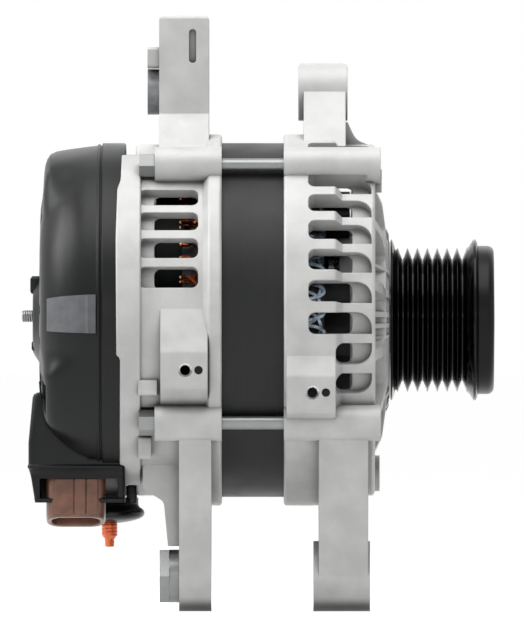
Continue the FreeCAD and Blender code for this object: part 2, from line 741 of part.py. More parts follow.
def drive_end_bracket():
    """Cast front cup: nose cone, windows, side slots, two ears, block boss and tie bosses."""
    body = new_body("drive_end_bracket")
    revolve(body, [
        ("front_joint_x", "nose_opening_radius"),
        ("front_joint_x", "flange_radius", "rim_corner"),
        ("front_joint_x + front_collar_width", "flange_radius", "rim_corner"),
        ("front_joint_x + front_collar_width + flange_step", "bracket_radius"),
        ("rim_x", "bracket_radius", "rim_corner"),
        ("rim_x", "cone_radius"),
        ("rim_x + cone_rise", "cone_radius - cone_step"),
        ("nose_x - nose_round", "nose_radius + nose_round"),
        ("nose_x", "nose_radius - nose_round"),
        ("nose_x", "nose_opening_radius"),
    ])
    opening_right = "rim_x - front_vent_from_rim"
    opening_left = opening_right + " - front_vent_length"
    front_ear_left = "front_joint_x + front_upper_ear_offset"
    neck_width = "front_upper_ear_width - ear_neck_inset - ear_neck_step"
    plate(body, front_ear_left + " + ear_neck_inset", neck_width, [
        ("upper_ear_y - front_ear_radius", "upper_ear_z"),
        ("upper_ear_y + front_ear_radius", "upper_ear_z"),
        ("upper_ear_y + front_ear_radius + ear_flare", "bracket_radius - ear_root"),
        ("-ear_web_reach", "bracket_radius - ear_root"),
    ])
    rod(body, front_ear_left, "front_upper_ear_width", "upper_ear_y", "upper_ear_z", "front_ear_radius")
    round_ear_top(body, front_ear_left, "front_upper_ear_width", "front_ear_radius",
                  "upper_ear_z + front_ear_radius")
    gusset = new_sketch(body, "XZ_Plane", "-upper_ear_y - front_ear_radius")
    gusset_left = front_ear_left + " + front_upper_ear_width"
    add_loop(gusset, [
        (gusset_left + " - overcut", "bracket_radius - gusset_sink"),
        ("rim_x - rim_corner", "bracket_radius - gusset_sink"),
        ("rim_x - rim_corner", "bracket_radius - wall_gap"),
        (gusset_left + " + gusset_run", "bracket_radius + gusset_toe", "ear_flare"),
        (gusset_left, "bracket_radius + gusset_rise"),
        (gusset_left + " - overcut", "bracket_radius + gusset_rise"),
    ])
    extrude(body, gusset, "2 * front_ear_radius")
    lower_left = "front_joint_x + front_lower_ear_offset"
    add_lower_ear(body, lower_left, "front_lower_ear_width", "ear_neck_inset", "ear_neck_step")
    add_block(body, "front_joint_x + front_block_offset", "front_block_width",
              "-front_block_top", "front_block_edge", "front_block_bottom")
    add_tie_bosses(body, "front_joint_x", "front_bracket_length + tie_boss_front_reach")
    plate(body, "rim_x - overcut", "front_tab_depth + overcut", pad_corners(
        "front_tab_reach", "front_tab_bottom", "front_tab_bottom + front_tab_height"))
    revolve(body, [
        ("front_joint_x - overcut", "front_bearing_bore"),
        ("front_joint_x - overcut", "core_radius"),
        ("core_front_x", "core_radius"),
        ("core_front_x", "inner_radius"),
        ("rim_x - front_wall", "inner_radius", "wall_corner"),
        ("rim_x - front_wall", "cone_radius - root_depth"),
        ("nose_x - front_wall - overcut", "front_bearing_radius + bearing_boss_wall"),
        ("front_bearing_end_x", "front_bearing_radius + bearing_boss_wall"),
        ("front_bearing_end_x", "front_bearing_radius"),
        ("front_bearing_x", "front_bearing_radius"),
        ("front_bearing_x", "front_bearing_bore"),
    ], cut=True)
    cut_windows(body, "front_bearing_end_x", "front_bearing_width + nose_lip + overcut", "front_window_count",
                "front_window_inner_radius", "front_window_outer_radius")
    drill_tie_bosses(body, "front_joint_x", "front_bracket_length + tie_boss_front_reach", "tie_bolt_radius")
    rod(body, front_ear_left, "front_upper_ear_width", "upper_ear_y", "upper_ear_z", "upper_ear_bore / 2",
        cut=True)
    rod(body, lower_left, "front_lower_ear_width", "-lower_ear_y", "-lower_ear_z", "lower_ear_bore / 2",
        cut=True)
    bore_x = "front_joint_x + front_block_offset + front_block_width / 2 + front_bore_offset"
    drill_block(body, bore_x, "-front_block_bore_z", bore_x + " + block_pin_pitch")
    screw = rod(body, "front_bearing_end_x", "retainer_screw_grip + overcut", "-retainer_screw_circle", "0",
                "retainer_screw_radius", cut=True, spin="retainer_screw_angle")
    repeat_round(body, [screw], "retainer_screw_count")
    recess_right = "rim_x - front_recess_from_rim"
    cut_vents(body, "front_vent_angle", FRONT_VENTS,
              (opening_left, opening_right), (opening_left, recess_right), "+")
    block_right = "front_joint_x + front_block_offset + front_block_width"
    cut_vents(body, "front_vent_angle", FRONT_SHORT_VENTS,
              (block_right, opening_right), (block_right, recess_right), "-")
    return body


def round_ear_top(body, x_low, width, half, top):
    """Round the two upper corners of an upper ear, as the near side shows them."""
    sketch = new_sketch(body, "XZ_Plane", "%s + overcut - upper_ear_y" % half)
    x_high = "%s + %s" % (x_low, width)
    above = top + " + overcut"
    below = top + " - 2 * ear_corner"
    add_loop(sketch, [
        (x_low + " - overcut", above),
        (x_high + " + overcut", above),
        (x_high + " + overcut", below),
        (x_high, below),
        (x_high, top, "ear_corner"),
        (x_low, top, "ear_corner"),
        (x_low, below),
        (x_low + " - overcut", below),
    ])
    extrude(body, sketch, "2 * (%s + overcut)" % half, cut=True, back=True)


def add_lower_ear(body, x_low, width, inset="0", step="0"):
    """Lower ear: a round eye on an arm, set in from its faces, that runs up to the near tie boss."""
    plate(body, "%s + %s" % (x_low, inset), "%s - %s - %s" % (width, inset, step), [
        ("-lower_ear_y - lower_ear_radius", "-lower_ear_z"),
        ("-lower_ear_y + lower_ear_radius", "-lower_ear_z"),
        ("-lower_ear_y + lower_ear_radius + lower_web_spread", "-bracket_radius + lower_web_sink"),
        ("-lower_ear_y + lower_web_sink", "-inner_radius + 3 * lower_web_sink"),
        ("-bracket_radius + lower_web_sink", "-tie_bolt_circle / 2"),
    ])
    rod(body, x_low, width, "-lower_ear_y", "-lower_ear_z", "lower_ear_radius")


def rear_bracket():
    """Cast rear cup: side slots, end wall with windows, bearing hub, two ears and block boss."""
    body = new_body("rear_bracket")
    revolve(body, [
        ("rear_joint_x", "rear_opening_radius"),
        ("rear_joint_x", "flange_radius", "rim_corner"),
        ("rear_joint_x - flange_width", "flange_radius", "rim_corner"),
        ("rear_joint_x - flange_width - flange_step", "bracket_radius"),
        ("rear_ring_x", "bracket_radius", "rim_corner"),
        ("rear_ring_x", "rear_ring_radius"),
        ("rear_wall_x", "rear_ring_radius"),
        ("rear_wall_x", "rear_opening_radius"),
    ])
    opening_right = "rear_joint_x - rear_vent_from_joint"
    opening_left = opening_right + " - rear_vent_length"
    rear_ear_right = "rear_joint_x - rear_upper_ear_offset"
    ear_left = rear_ear_right + " - rear_upper_ear_width"
    plate(body, ear_left, "rear_upper_ear_width", [
        ("upper_ear_y - rear_upper_ear_half", "rear_upper_ear_top", "rim_corner"),
        ("upper_ear_y + rear_upper_ear_half", "rear_upper_ear_top", "rim_corner"),
        ("upper_ear_y + rear_upper_ear_half", "upper_ear_z - ear_neck"),
        ("upper_ear_y + rear_upper_ear_half + ear_flare", "bracket_radius - ear_root"),
        ("-ear_web_reach", "bracket_radius - ear_root"),
        ("upper_ear_y - rear_upper_ear_half - 2 * rim_corner", "upper_ear_z - ear_neck"),
    ])
    plate(body, ear_left + " - rear_ear_hood_reach", "rear_ear_hood_reach + overcut", box_corners(
        "upper_ear_y - upper_bush_radius - 2 * rim_corner",
        "upper_ear_y + upper_bush_radius + 2 * rim_corner",
        "upper_ear_z + upper_bush_radius + rear_ear_hood_gap", "rear_ear_hood_top", "rim_corner"))
    round_ear_top(body, ear_left, "rear_upper_ear_width", "rear_upper_ear_half", "rear_upper_ear_top")
    recess = new_sketch(body, "XZ_Plane", "rear_upper_ear_half + 2 * rim_corner - upper_ear_y")
    recess_right_x = rear_ear_right + " - ear_recess_side"
    recess_top = "rear_upper_ear_top - ear_recess_drop"
    add_loop(recess, box_corners(recess_right_x + " - ear_recess_width", recess_right_x,
                                 recess_top + " - ear_recess_length", recess_top, "rim_corner"))
    extrude(body, recess, "ear_recess_depth", cut=True, back=True)
    lower_right = "rear_joint_x - rear_lower_ear_offset"
    lower_left = lower_right + " - rear_lower_ear_width"
    add_lower_ear(body, lower_left, "rear_lower_ear_width")
    brace = new_sketch(body, "XZ_Plane", "lower_ear_y - brace_half")
    add_loop(brace, [
        (lower_left + " + overcut", "-brace_root_z"),
        (lower_left + " - brace_reach", "-brace_root_z"),
        (lower_left + " - brace_reach", "-brace_step_z"),
        (lower_left + " - brace_waist", "-brace_waist_z", "brace_corner"),
        (lower_left + " - brace_foot", "-brace_foot_z"),
        (lower_left + " + overcut", "-brace_foot_z"),
    ])
    extrude(body, brace, "2 * brace_half")
    plate(body, "rear_ring_x + overcut", "rear_pad_width", pad_corners(
        "rear_pad_reach", "-rear_pad_top - rear_pad_height", "-rear_pad_top"))
    plate(body, "rear_ring_x + overcut", "rear_stub_width", pad_corners(
        "rear_stub_reach", "-rear_stub_top - rear_stub_height", "-rear_stub_top"))
    block_right = "rear_joint_x - rear_block_offset"
    block_left = block_right + " - rear_block_width"
    add_block(body, block_left, "rear_block_width", "rear_block_top", "rear_block_edge", "rear_block_bottom")
    add_tie_bosses(body, "rear_joint_x - tie_boss_rear_length", "tie_boss_rear_length")
    taper_x = opening_left + " - 2 * overcut"
    revolve(body, [
        ("rear_joint_x + overcut", "rear_bearing_bore"),
        ("rear_joint_x + overcut", "core_radius"),
        ("core_rear_x", "core_radius"),
        ("core_rear_x", "inner_radius"),
        (taper_x, "inner_radius"),
        (taper_x + " - bracket_wall", "rear_ring_radius - bracket_wall"),
        ("rear_wall_x + rear_wall", "rear_ring_radius - bracket_wall"),
        ("rear_wall_x + rear_wall", "rear_bearing_radius + rear_hub_wall"),
        ("rear_bearing_x + overcut", "rear_bearing_radius + rear_hub_wall"),
        ("rear_bearing_x + overcut", "rear_bearing_radius"),
        ("rear_bearing_end_x", "rear_bearing_radius"),
        ("rear_bearing_end_x", "rear_bearing_bore"),
    ], cut=True)
    cut_windows(body, "rear_wall_x - overcut", "rear_wall + 2 * overcut", "rear_window_count",
                "rear_window_inner_radius", "rear_window_outer_radius")
    drill_tie_bosses(body, "rear_joint_x - tie_boss_rear_length", "tie_boss_rear_length",
                     "tie_bolt_radius + tie_bolt_clearance")
    seat_x = "rear_joint_x - tie_boss_rear_length - tie_head_height"
    drill_tie_bosses(body, seat_x + " - overcut", "tie_head_height + overcut",
                     "tie_head_flats / 2 + tie_seat_gap")
    rod(body, ear_left, "rear_upper_ear_width", "upper_ear_y", "upper_ear_z", "upper_bush_radius", cut=True)
    rod(body, lower_left, "rear_lower_ear_width", "-lower_ear_y", "-lower_ear_z", "lower_bush_shank_radius",
        cut=True)
    bore_x = block_left + " + rear_block_width / 2 + rear_bore_offset"
    drill_block(body, bore_x, "-rear_block_bore_z", bore_x + " + block_pin_pitch")
    for turn in LEAD_TURNS:
        rod(body, "rear_wall_x", "rear_wall + bracket_wall", "lead_circle", "0",
            "lead_radius + lead_hole_gap", cut=True, spin=turn)
    stud = rod(body, "rear_wall_x", "rear_wall", "0", "cover_stud_circle", "cover_stud_radius", cut=True)
    repeat_round(body, [stud], "cover_stud_count")
    cut_vents(body, "rear_vent_angle", REAR_VENTS, (opening_left, opening_right),
              (opening_left + " - rear_recess_length", opening_right))
    return body


def tie_bolts():
    """Four long bolts that clamp the core between the brackets, heads at the rear."""
    body = new_body("tie_bolts")
    head_x = "rear_joint_x - tie_boss_rear_length - tie_head_height"
    length = "tie_boss_rear_length + core_exposed + front_bracket_length + tie_head_height - overcut"
    head = plate(body, head_x, "tie_head_height", hexagon("-tie_bolt_circle", "0", "tie_head_flats"),
                 spin="tie_bolt_angle")
    shank = rod(body, head_x, length, "-tie_bolt_circle", "0", "tie_bolt_radius", spin="tie_bolt_angle")
    repeat_round(body, [head, shank], "tie_bolt_count")
    return body


def stator_core():
    """Laminated core with its winding slots."""
    body = ring("stator_core", "core_rear_x", "core_front_x", "core_bore_radius", "core_radius")
    slot = plate(body, "core_rear_x - overcut", "core_front_x - core_rear_x + 2 * overcut", box_corners(
        "-core_bore_radius - core_slot_depth", "-core_bore_radius + overcut",
        "-core_slot_width / 2", "core_slot_width / 2"), cut=True)
    repeat_round(body, [slot], "core_slot_count")
    return body


def hairpin_windings():
    """Hairpin conductors: bars through the slots, joined by the crown of bends in front."""
    body = new_body("hairpin_windings")
    crown_x = "core_front_x + bend_reach - winding_ring"
    revolve(body, box_corners(crown_x, "core_front_x + bend_reach", "winding_inner", "winding_outer"))
    bar = plate(body, "core_rear_x - weld_gap", crown_x + " - core_rear_x + weld_gap + overcut", box_corners(
        "-winding_outer + bar_inset", "-winding_inner - bar_inset", "-core_slot_width / 2 + slot_liner",
        "core_slot_width / 2 - slot_liner"))
    repeat_round(body, [bar], "core_slot_count")
    return body


def welded_ends():
    """Twisted and welded ends of the hairpins behind the core."""
    body = new_body("welded_ends")
    revolve(body, box_corners("core_rear_x - weld_gap - winding_ring", "core_rear_x - weld_gap",
                              "winding_inner", "winding_outer"))
    tip = plate(body, "core_rear_x - weld_reach", "weld_reach - winding_ring", box_corners(
        "-winding_outer + weld_inset", "-winding_inner - weld_inset", "-core_slot_width / 2",
        "core_slot_width / 2"))
    repeat_round(body, [tip], "core_slot_count")
    return body


def bearing(name, x_low, width, outer, bore):
    """Sealed bearing: outer race with its two seals, and the inner race, as two pieces."""
    shell = new_body(name + "_outer")
    lip = "%s + race_thickness + seal_gap" % bore
    inside = "%s - race_thickness" % outer
    revolve(shell, [
        (x_low, lip),
        (x_low, outer),
        ("%s + %s" % (x_low, width), outer),
        ("%s + %s" % (x_low, width), lip),
        ("%s + %s - seal_thickness" % (x_low, width), lip),
        ("%s + %s - seal_thickness" % (x_low, width), inside),
        (x_low + " + seal_thickness", inside),
        (x_low + " + seal_thickness", lip),
    ])
    inner = ring(name + "_inner", x_low, "%s + %s" % (x_low, width), bore, "%s + race_thickness" % bore)
    return shell, inner


def bearing_retainer():
    """Plate that holds the front bearing in its boss, with its screws."""
    body = ring("bearing_retainer", "front_bearing_end_x - retainer_thickness", "front_bearing_end_x",
                "front_bearing_radius - retainer_lap", "front_bearing_radius + bearing_boss_wall")
    hole = rod(body, "front_bearing_end_x - retainer_thickness", "retainer_thickness",
               "-retainer_screw_circle", "0", "retainer_screw_radius", cut=True, spin="retainer_screw_angle")
    repeat_round(body, [hole], "retainer_screw_count")
    screws = new_body("retainer_screws")
    head_x = "front_bearing_end_x - retainer_thickness - retainer_head_height"
    head = rod(screws, head_x, "retainer_head_height", "-retainer_screw_circle", "0",
               "retainer_screw_radius + retainer_head_step", spin="retainer_screw_angle")
    shank = rod(screws, head_x, "retainer_head_height + retainer_thickness + retainer_screw_grip",
                "-retainer_screw_circle", "0", "retainer_screw_radius", spin="retainer_screw_angle")
    repeat_round(screws, [head, shank], "retainer_screw_count")
    return body, screws


def rotor_shaft():
    """Stepped shaft from the slip rings to the thread inside the pulley."""
    body = new_body("rotor_shaft")
    revolve(body, [
        ("shaft_rear_x", "0"),
        ("shaft_rear_x", "shaft_ring_radius"),
        ("rear_bearing_end_x - overcut", "shaft_ring_radius"),
        ("rear_bearing_end_x - overcut", "rear_bearing_bore"),
        ("rear_bearing_x", "rear_bearing_bore"),
        ("rear_bearing_x", "rear_bearing_bore + shaft_shoulder"),
        ("rotor_rear_x", "rear_bearing_bore + shaft_shoulder"),
        ("rotor_rear_x", "shaft_core_radius"),
        ("front_bearing_end_x", "shaft_core_radius"),
        ("front_bearing_end_x", "front_bearing_bore"),
        ("pulley_rear_x", "front_bearing_bore"),
        ("pulley_rear_x", "shaft_thread_radius"),
        ("shaft_front_reach", "shaft_thread_radius", "1"),
        ("shaft_front_reach", "0"),
    ])
    return body


def pole_core(name, root_x, way, turn):
    """Claw-pole half: hub, disc and tapering claws; way is +1 when the claws point forwards."""
    body = new_body(name)
    disc_x = "%s %s pole_disc_thickness" % (root_x, way)
    tip_x = "%s %s (rotor_length - claw_tip_clearance)" % (root_x, way)
    revolve(body, [
        (root_x, "shaft_core_radius"),
        (root_x, "pole_disc_radius"),
        (disc_x, "pole_disc_radius"),
        (disc_x, "bobbin_inner_radius"),
        ("core_middle_x", "bobbin_inner_radius"),
        ("core_middle_x", "shaft_core_radius"),
    ])
    sketch = new_sketch(body, "XZ_Plane", "pole_disc_radius - root_depth", tilt=turn)
    add_loop(sketch, [
        (root_x, "-claw_root_width / 2"),
        (tip_x, "-claw_tip_width / 2"),
        (tip_x, "claw_tip_width / 2"),
        (root_x, "claw_root_width / 2"),
    ])
    claw = extrude(body, sketch, "rotor_radius - pole_disc_radius + 2 * root_depth")
    repeat_round(body, [claw], "claw_count")
    revolve(body, [
        ("rotor_rear_x - overcut", "rotor_radius"),
        ("rotor_front_x + overcut", "rotor_radius"),
        ("rotor_front_x + overcut", "rotor_radius + 3 * root_depth"),
        ("rotor_rear_x - overcut", "rotor_radius + 3 * root_depth"),
    ], cut=True)
    revolve(body, [
        (disc_x, "pole_disc_radius - claw_tip_thickness"),
        (disc_x, "pole_disc_radius"),
        (tip_x, "rotor_radius - claw_tip_thickness"),
        ("%s %s 2 * overcut" % (tip_x, way), "rotor_radius - claw_tip_thickness"),
        ("%s %s 2 * overcut" % (tip_x, way), "pole_disc_radius - claw_tip_thickness"),
    ], cut=True)
    return body


def field_coil():
    """Field coil on its bobbin between the pole discs."""
    low = "rotor_rear_x + pole_disc_thickness"
    high = "rotor_front_x - pole_disc_thickness"
    bobbin = new_body("coil_bobbin")
    revolve(bobbin, [
        (low, "bobbin_inner_radius"),
        (low, "coil_radius"),
        (low + " + bobbin_flange", "coil_radius"),
        (low + " + bobbin_flange", "coil_inner_radius"),
        (high + " - bobbin_flange", "coil_inner_radius"),
        (high + " - bobbin_flange", "coil_radius"),
        (high, "coil_radius"),
        (high, "bobbin_inner_radius"),
    ])
    ring("field_coil", low + " + bobbin_flange", high + " - bobbin_flange", "coil_inner_radius",
         "coil_radius - coil_inset")


def fan(name, plate_low, blade_low, bore):
    """Sheet fan: a disc with a ring of leaning blades."""
    body = ring(name, plate_low, plate_low + " + fan_plate", bore, "fan_radius")
    blade = plate(body, blade_low, "fan_blade_height", [
        ("-fan_radius * fan_root_ratio", "0"),
        ("-fan_radius * fan_middle_ratio", "fan_radius * fan_middle_lean"),
        ("-fan_radius * fan_tip_ratio", "fan_radius * fan_tip_lean"),
        ("-fan_radius * fan_tip_ratio", "fan_radius * fan_tip_lean + fan_blade_thickness"),
        ("-fan_radius * fan_middle_ratio", "fan_radius * fan_middle_lean + fan_blade_thickness"),
        ("-fan_radius * fan_root_ratio", "fan_blade_thickness"),
    ])
    repeat_round(body, [blade], "fan_blade_count")
    return body


def slip_rings():
    """Two copper rings on a moulded sleeve over the shaft's rear end."""
    ring("slip_ring_sleeve", "shaft_rear_x", "rear_bearing_end_x - shaft_end_gap", "shaft_ring_radius",
         "slip_sleeve_radius")
    body = new_body("slip_rings")
    for middle in ("slip_front_x", "slip_rear_x"):
        revolve(body, box_corners(middle + " - slip_ring_width / 2", middle + " + slip_ring_width / 2",
                                  "slip_sleeve_radius", "slip_ring_radius"))


def brush_gear():
    """Brush box over the slip rings, with a carbon brush and a spring in each channel."""
    low = "slip_rear_x - brush_thickness / 2 - brush_play - brush_box_wall"
    high = "slip_front_x + brush_thickness / 2 + brush_play + brush_box_wall"
    half = "brush_width / 2 + brush_play + brush_box_wall"
    box_bottom = "slip_ring_radius + brush_box_gap"
    brush_bottom = "slip_ring_radius + brush_gap"
    brush_top = brush_bottom + " + brush_length"
    roof = brush_top + " + brush_travel + spring_room"
    body = new_body("brush_holder")
    sketch = new_sketch(body, "XY_Plane", box_bottom)
    add_loop(sketch, box_corners(low, high, "-(%s)" % half, half, "1"))
    extrude(body, sketch, "%s + brush_box_wall - (%s)" % (roof, box_bottom))
    for middle in ("slip_front_x", "slip_rear_x"):
        channel = new_sketch(body, "XY_Plane", box_bottom)
        add_loop(channel, box_corners(middle + " - brush_thickness / 2 - brush_play",
                                      middle + " + brush_thickness / 2 + brush_play",
                                      "-brush_width / 2 - brush_play", "brush_width / 2 + brush_play"))
        extrude(body, channel, "%s - (%s)" % (roof, box_bottom), cut=True)
    for name, middle in (("front", "slip_front_x"), ("rear", "slip_rear_x")):
        brush = new_body(name + "_brush")
        sketch = new_sketch(brush, "XY_Plane", brush_bottom)
        add_loop(sketch, box_corners(middle + " - brush_thickness / 2", middle + " + brush_thickness / 2",
                                     "-brush_width / 2", "brush_width / 2"))
        extrude(brush, sketch, "brush_length")
        spring = new_body(name + "_brush_spring")
        sketch = new_sketch(spring, "XY_Plane", brush_top + " + spring_seat")
        add_circle(sketch, middle, "0", "spring_coil_radius")
        add_circle(sketch, middle, "0", "spring_coil_radius - spring_wire")
        extrude(spring, sketch, "brush_travel + spring_rest")


def rear_cover():
    """Moulded rear cover: domed shell with a fuller crown, hub, stud seats and the connector box below."""
    body = new_body("rear_cover")
    front = "rear_wall_x + cover_lap"
    band = front + " - cover_band_length"
    revolve(body, [
        (front, "0"),
        (front, "cover_radius", "rim_corner"),
        (band, "cover_radius"),
        (band, "cover_radius - cover_band_step"),
        ("cover_rear_x + cover_face_draft", "cover_rear_radius", "cover_shoulder"),
        ("cover_rear_x", "cover_hub_radius"),
        ("cover_rear_x - cover_hub_height", "cover_hub_radius - cover_hub_slope"),
        ("cover_rear_x - cover_hub_height", "0"),
    ])
    crown = new_sketch(body, "XZ_Plane")
    add_loop(crown, [
        (band, "cover_rear_radius - cover_crown_depth"),
        (band, "cover_radius - cover_band_step"),
        ("cover_rear_x", "cover_rear_radius", "cover_corner"),
        ("cover_rear_x", "cover_rear_radius - cover_crown_depth"),
    ])
    full = body.newObject("PartDesign::Revolution", "rear_cover_crown")
    full.Profile = crown
    full.ReferenceAxis = (crown, ["H_Axis"])
    full.Midplane = True
    full.Angle = size("cover_crown_angle")
    bind(full, "Angle", "cover_crown_angle")
    add_connector_box(body, front)
    revolve(body, [
        (front + " + overcut", "0"),
        (front + " + overcut", "rear_ring_radius"),
        ("rear_wall_x - wall_gap", "rear_ring_radius"),
        ("rear_wall_x - wall_gap", "cover_radius - cover_wall - cover_band_step"),
        ("cover_rear_x + cover_wall", "cover_rear_radius - cover_wall", "cover_shoulder"),
        ("cover_rear_x + cover_wall", "cover_hub_radius - cover_wall"),
        ("cover_rear_x + cover_wall - cover_hub_height", "cover_hub_radius - cover_wall - cover_hub_slope"),
        ("cover_rear_x + cover_wall - cover_hub_height", "0"),
    ], cut=True)
    open_connector_box(body)
    seat_x = "cover_rear_x + cover_seat_depth"
    boss = rod(body, seat_x + " - cover_seat_boss", "cover_seat_boss + cover_wall", "0", "cover_stud_circle",
               "cover_seat_radius + cover_seat_wall")
    seat = rod(body, "cover_rear_x - overcut", "cover_seat_depth + overcut", "0", "cover_stud_circle",
               "cover_seat_radius", cut=True)
    hole = rod(body, seat_x, "cover_wall", "0", "cover_stud_circle", "cover_stud_radius + cover_stud_gap",
               cut=True)
    repeat_round(body, [boss, seat, hole], "cover_stud_count")
    vent = plate(body, "cover_rear_x - overcut", "cover_wall + 2 * overcut", box_corners(
        "cover_vent_inner", "cover_vent_outer", "-cover_vent_width / 2", "cover_vent_width / 2"), cut=True,
        spin="cover_vent_angle")
    repeat_round(body, [vent], "cover_vent_count * 2")
    rod(body, "cover_rear_x - cover_hub_height - overcut", "cover_wall + 2 * overcut", "0", "rear_stud_z",
        "rear_stud_radius", cut=True)
    neck = new_sketch(body, "XY_Plane", "-cover_radius - overcut")
    add_circle(neck, "-terminal_x", "terminal_y", "terminal_shank_radius + wall_gap")
    extrude(body, neck, "cover_neck_depth", cut=True)
    return body


def add_connector_box(body, front):
    """Box below the dome for the regulator and the socket, a little fuller towards the rear."""
    box = new_sketch(body, "XZ_Plane", "cover_box_far")
    add_loop(box, [
        ("cover_rear_x - cover_box_shoulder", "-cover_box_top", "wall_corner"),
        (front, "-cover_box_top"),
        (front, "-cover_box_bottom"),
        ("cover_rear_x - cover_box_toe", "-cover_box_bottom", "rim_corner"),
        ("cover_rear_x - cover_box_reach", "-cover_belly_bottom", "rim_corner"),
        ("cover_rear_x - cover_box_reach", "-cover_belly_top", "rim_corner"),
    ])
    extrude(body, box, "cover_box_near - cover_box_far")


def open_connector_box(body):
    """Hollow the box from below, and open its near wall where the socket leans out."""
    room = new_sketch(body, "XZ_Plane", "cover_box_far + cover_wall")
    add_loop(room, [
        ("cover_rear_x + cover_wall - cover_box_shoulder", "-cover_box_top - 2 * cover_wall"),
        ("rear_wall_x - wall_gap", "-cover_box_top - 2 * cover_wall"),
        ("rear_wall_x - wall_gap", "-cover_box_bottom - overcut"),
        ("cover_rear_x + cover_wall - cover_box_toe", "-cover_box_bottom - overcut"),
        ("cover_rear_x + cover_wall - cover_box_reach", "-cover_belly_bottom"),
        ("cover_rear_x + cover_wall - cover_box_reach", "-cover_belly_top"),
    ])
    extrude(body, room, "cover_box_near - cover_box_far - 2 * cover_wall", cut=True)
    window = new_sketch(body, "XZ_Plane", "cover_box_near - cover_wall - overcut")
    add_loop(window, box_corners("-socket_x - socket_length / 2 - socket_window_gap",
                                 "-socket_x + socket_length / 2 + socket_window_gap",
                                 "-cover_box_bottom - overcut", "-socket_window_top"))
    extrude(body, window, "cover_wall + 2 * overcut", cut=True)


def cover_fasteners():
    """Three studs rooted in the rear bracket with their nuts, and the stud moulded into the hub."""
    studs = new_body("cover_studs")
    length = "rear_wall + rear_cover_length - cover_seat_depth + cover_nut_height + overcut"
    stud = rod(studs, "rear_wall_x + rear_wall - (%s)" % length, length, "0", "cover_stud_circle",
               "cover_stud_radius")
    repeat_round(studs, [stud], "cover_stud_count")
    nuts = new_body("cover_nuts")
    sketch = new_sketch(nuts, "YZ_Plane", "cover_rear_x + cover_seat_depth - cover_nut_height")
    add_loop(sketch, hexagon("0", "cover_stud_circle", "cover_nut_flats"))
    add_circle(sketch, "0", "cover_stud_circle", "cover_stud_radius")
    nut = extrude(nuts, sketch, "cover_nut_height")
    repeat_round(nuts, [nut], "cover_stud_count")
    hub_inside = "cover_rear_x + cover_wall - cover_hub_height"
    rear_stud = new_body("rear_stud")
    rod(rear_stud, hub_inside, "rear_stud_head", "0", "rear_stud_z", "rear_stud_head_radius")
    rod(rear_stud, "cover_rear_x - rear_stud_reach",
        "rear_stud_reach + cover_wall - cover_hub_height + rear_stud_grip", "0", "rear_stud_z",
        "rear_stud_radius")


def far_half(body, x_low, width, inner, outer):
    """Half ring on the far side, with its straight edge at the rectifier's edge."""
    revolve(body, box_corners(x_low, "%s + %s" % (x_low, width), inner, outer))
    past = "(%s) + rectifier_trim" % outer
    plate(body, x_low + " - overcut", width + " + 2 * overcut", box_corners(
        "-(%s)" % past, "rectifier_edge_y", "-(%s)" % past, past), cut=True)


def rectifier():
    """Two heat sinks with their diodes on a moulded terminal block, and the stator leads."""
    middle = "(rectifier_outer_radius + rectifier_inner_radius) / 2"
    negative = new_body("negative_heat_sink")
    far_half(negative, "block_x", "negative_plate", "rectifier_inner_radius", "rectifier_outer_radius")
    block = new_body("terminal_block")
    far_half(block, "positive_plate_x", "terminal_block_height", "rectifier_inner_radius",
             "rectifier_outer_radius - 2 * rectifier_step")
    positive = new_body("positive_heat_sink")
    far_half(positive, "positive_plate_x - positive_plate", "positive_plate",
             "rectifier_inner_radius + rectifier_step", "rectifier_outer_radius - rectifier_step")
    plate(positive, "positive_plate_x - positive_plate", "positive_plate", box_corners(
        "rectifier_edge_y", "rectifier_edge_y + output_tab_width", "-output_tab_z",
        "-rectifier_outer_radius + root_depth"))
    tab = new_sketch(positive, "XY_Plane", "-output_tab_z")
    add_loop(tab, box_corners("positive_plate_x - positive_plate", "rear_wall_x - wall_gap",
                              "terminal_y - output_tab_half", "rectifier_edge_y + output_tab_width"))
    extrude(positive, tab, "output_tab")
    upright(positive, "-output_tab_z - overcut", "output_tab + 2 * overcut", "terminal_shank_radius",
            cut=True)
    low_diodes = new_body("negative_diodes")
    high_diodes = new_body("positive_diodes")
    leads = new_body("stator_leads")
    for turn in LEAD_TURNS:
        rod(block, "positive_plate_x", "terminal_block_height", middle, "0", "diode_radius + wall_gap",
            cut=True, spin=turn)
        plate(block, "block_x - lug_thickness", "lug_thickness", box_corners(
            "rectifier_outer_radius - root_depth", "lead_circle + lead_radius + lug_edge", "-lug_half",
            "lug_half"), spin=turn)
        rod(low_diodes, "block_x - diode_height", "diode_height", middle, "0", "diode_radius", spin=turn)
        rod(high_diodes, "positive_plate_x - positive_plate - diode_height", "diode_height", middle, "0",
            "diode_radius", spin=turn)
        rod(leads, "block_x", "core_rear_x - weld_reach - block_x", "lead_circle", "0", "lead_radius",
            spin=turn)


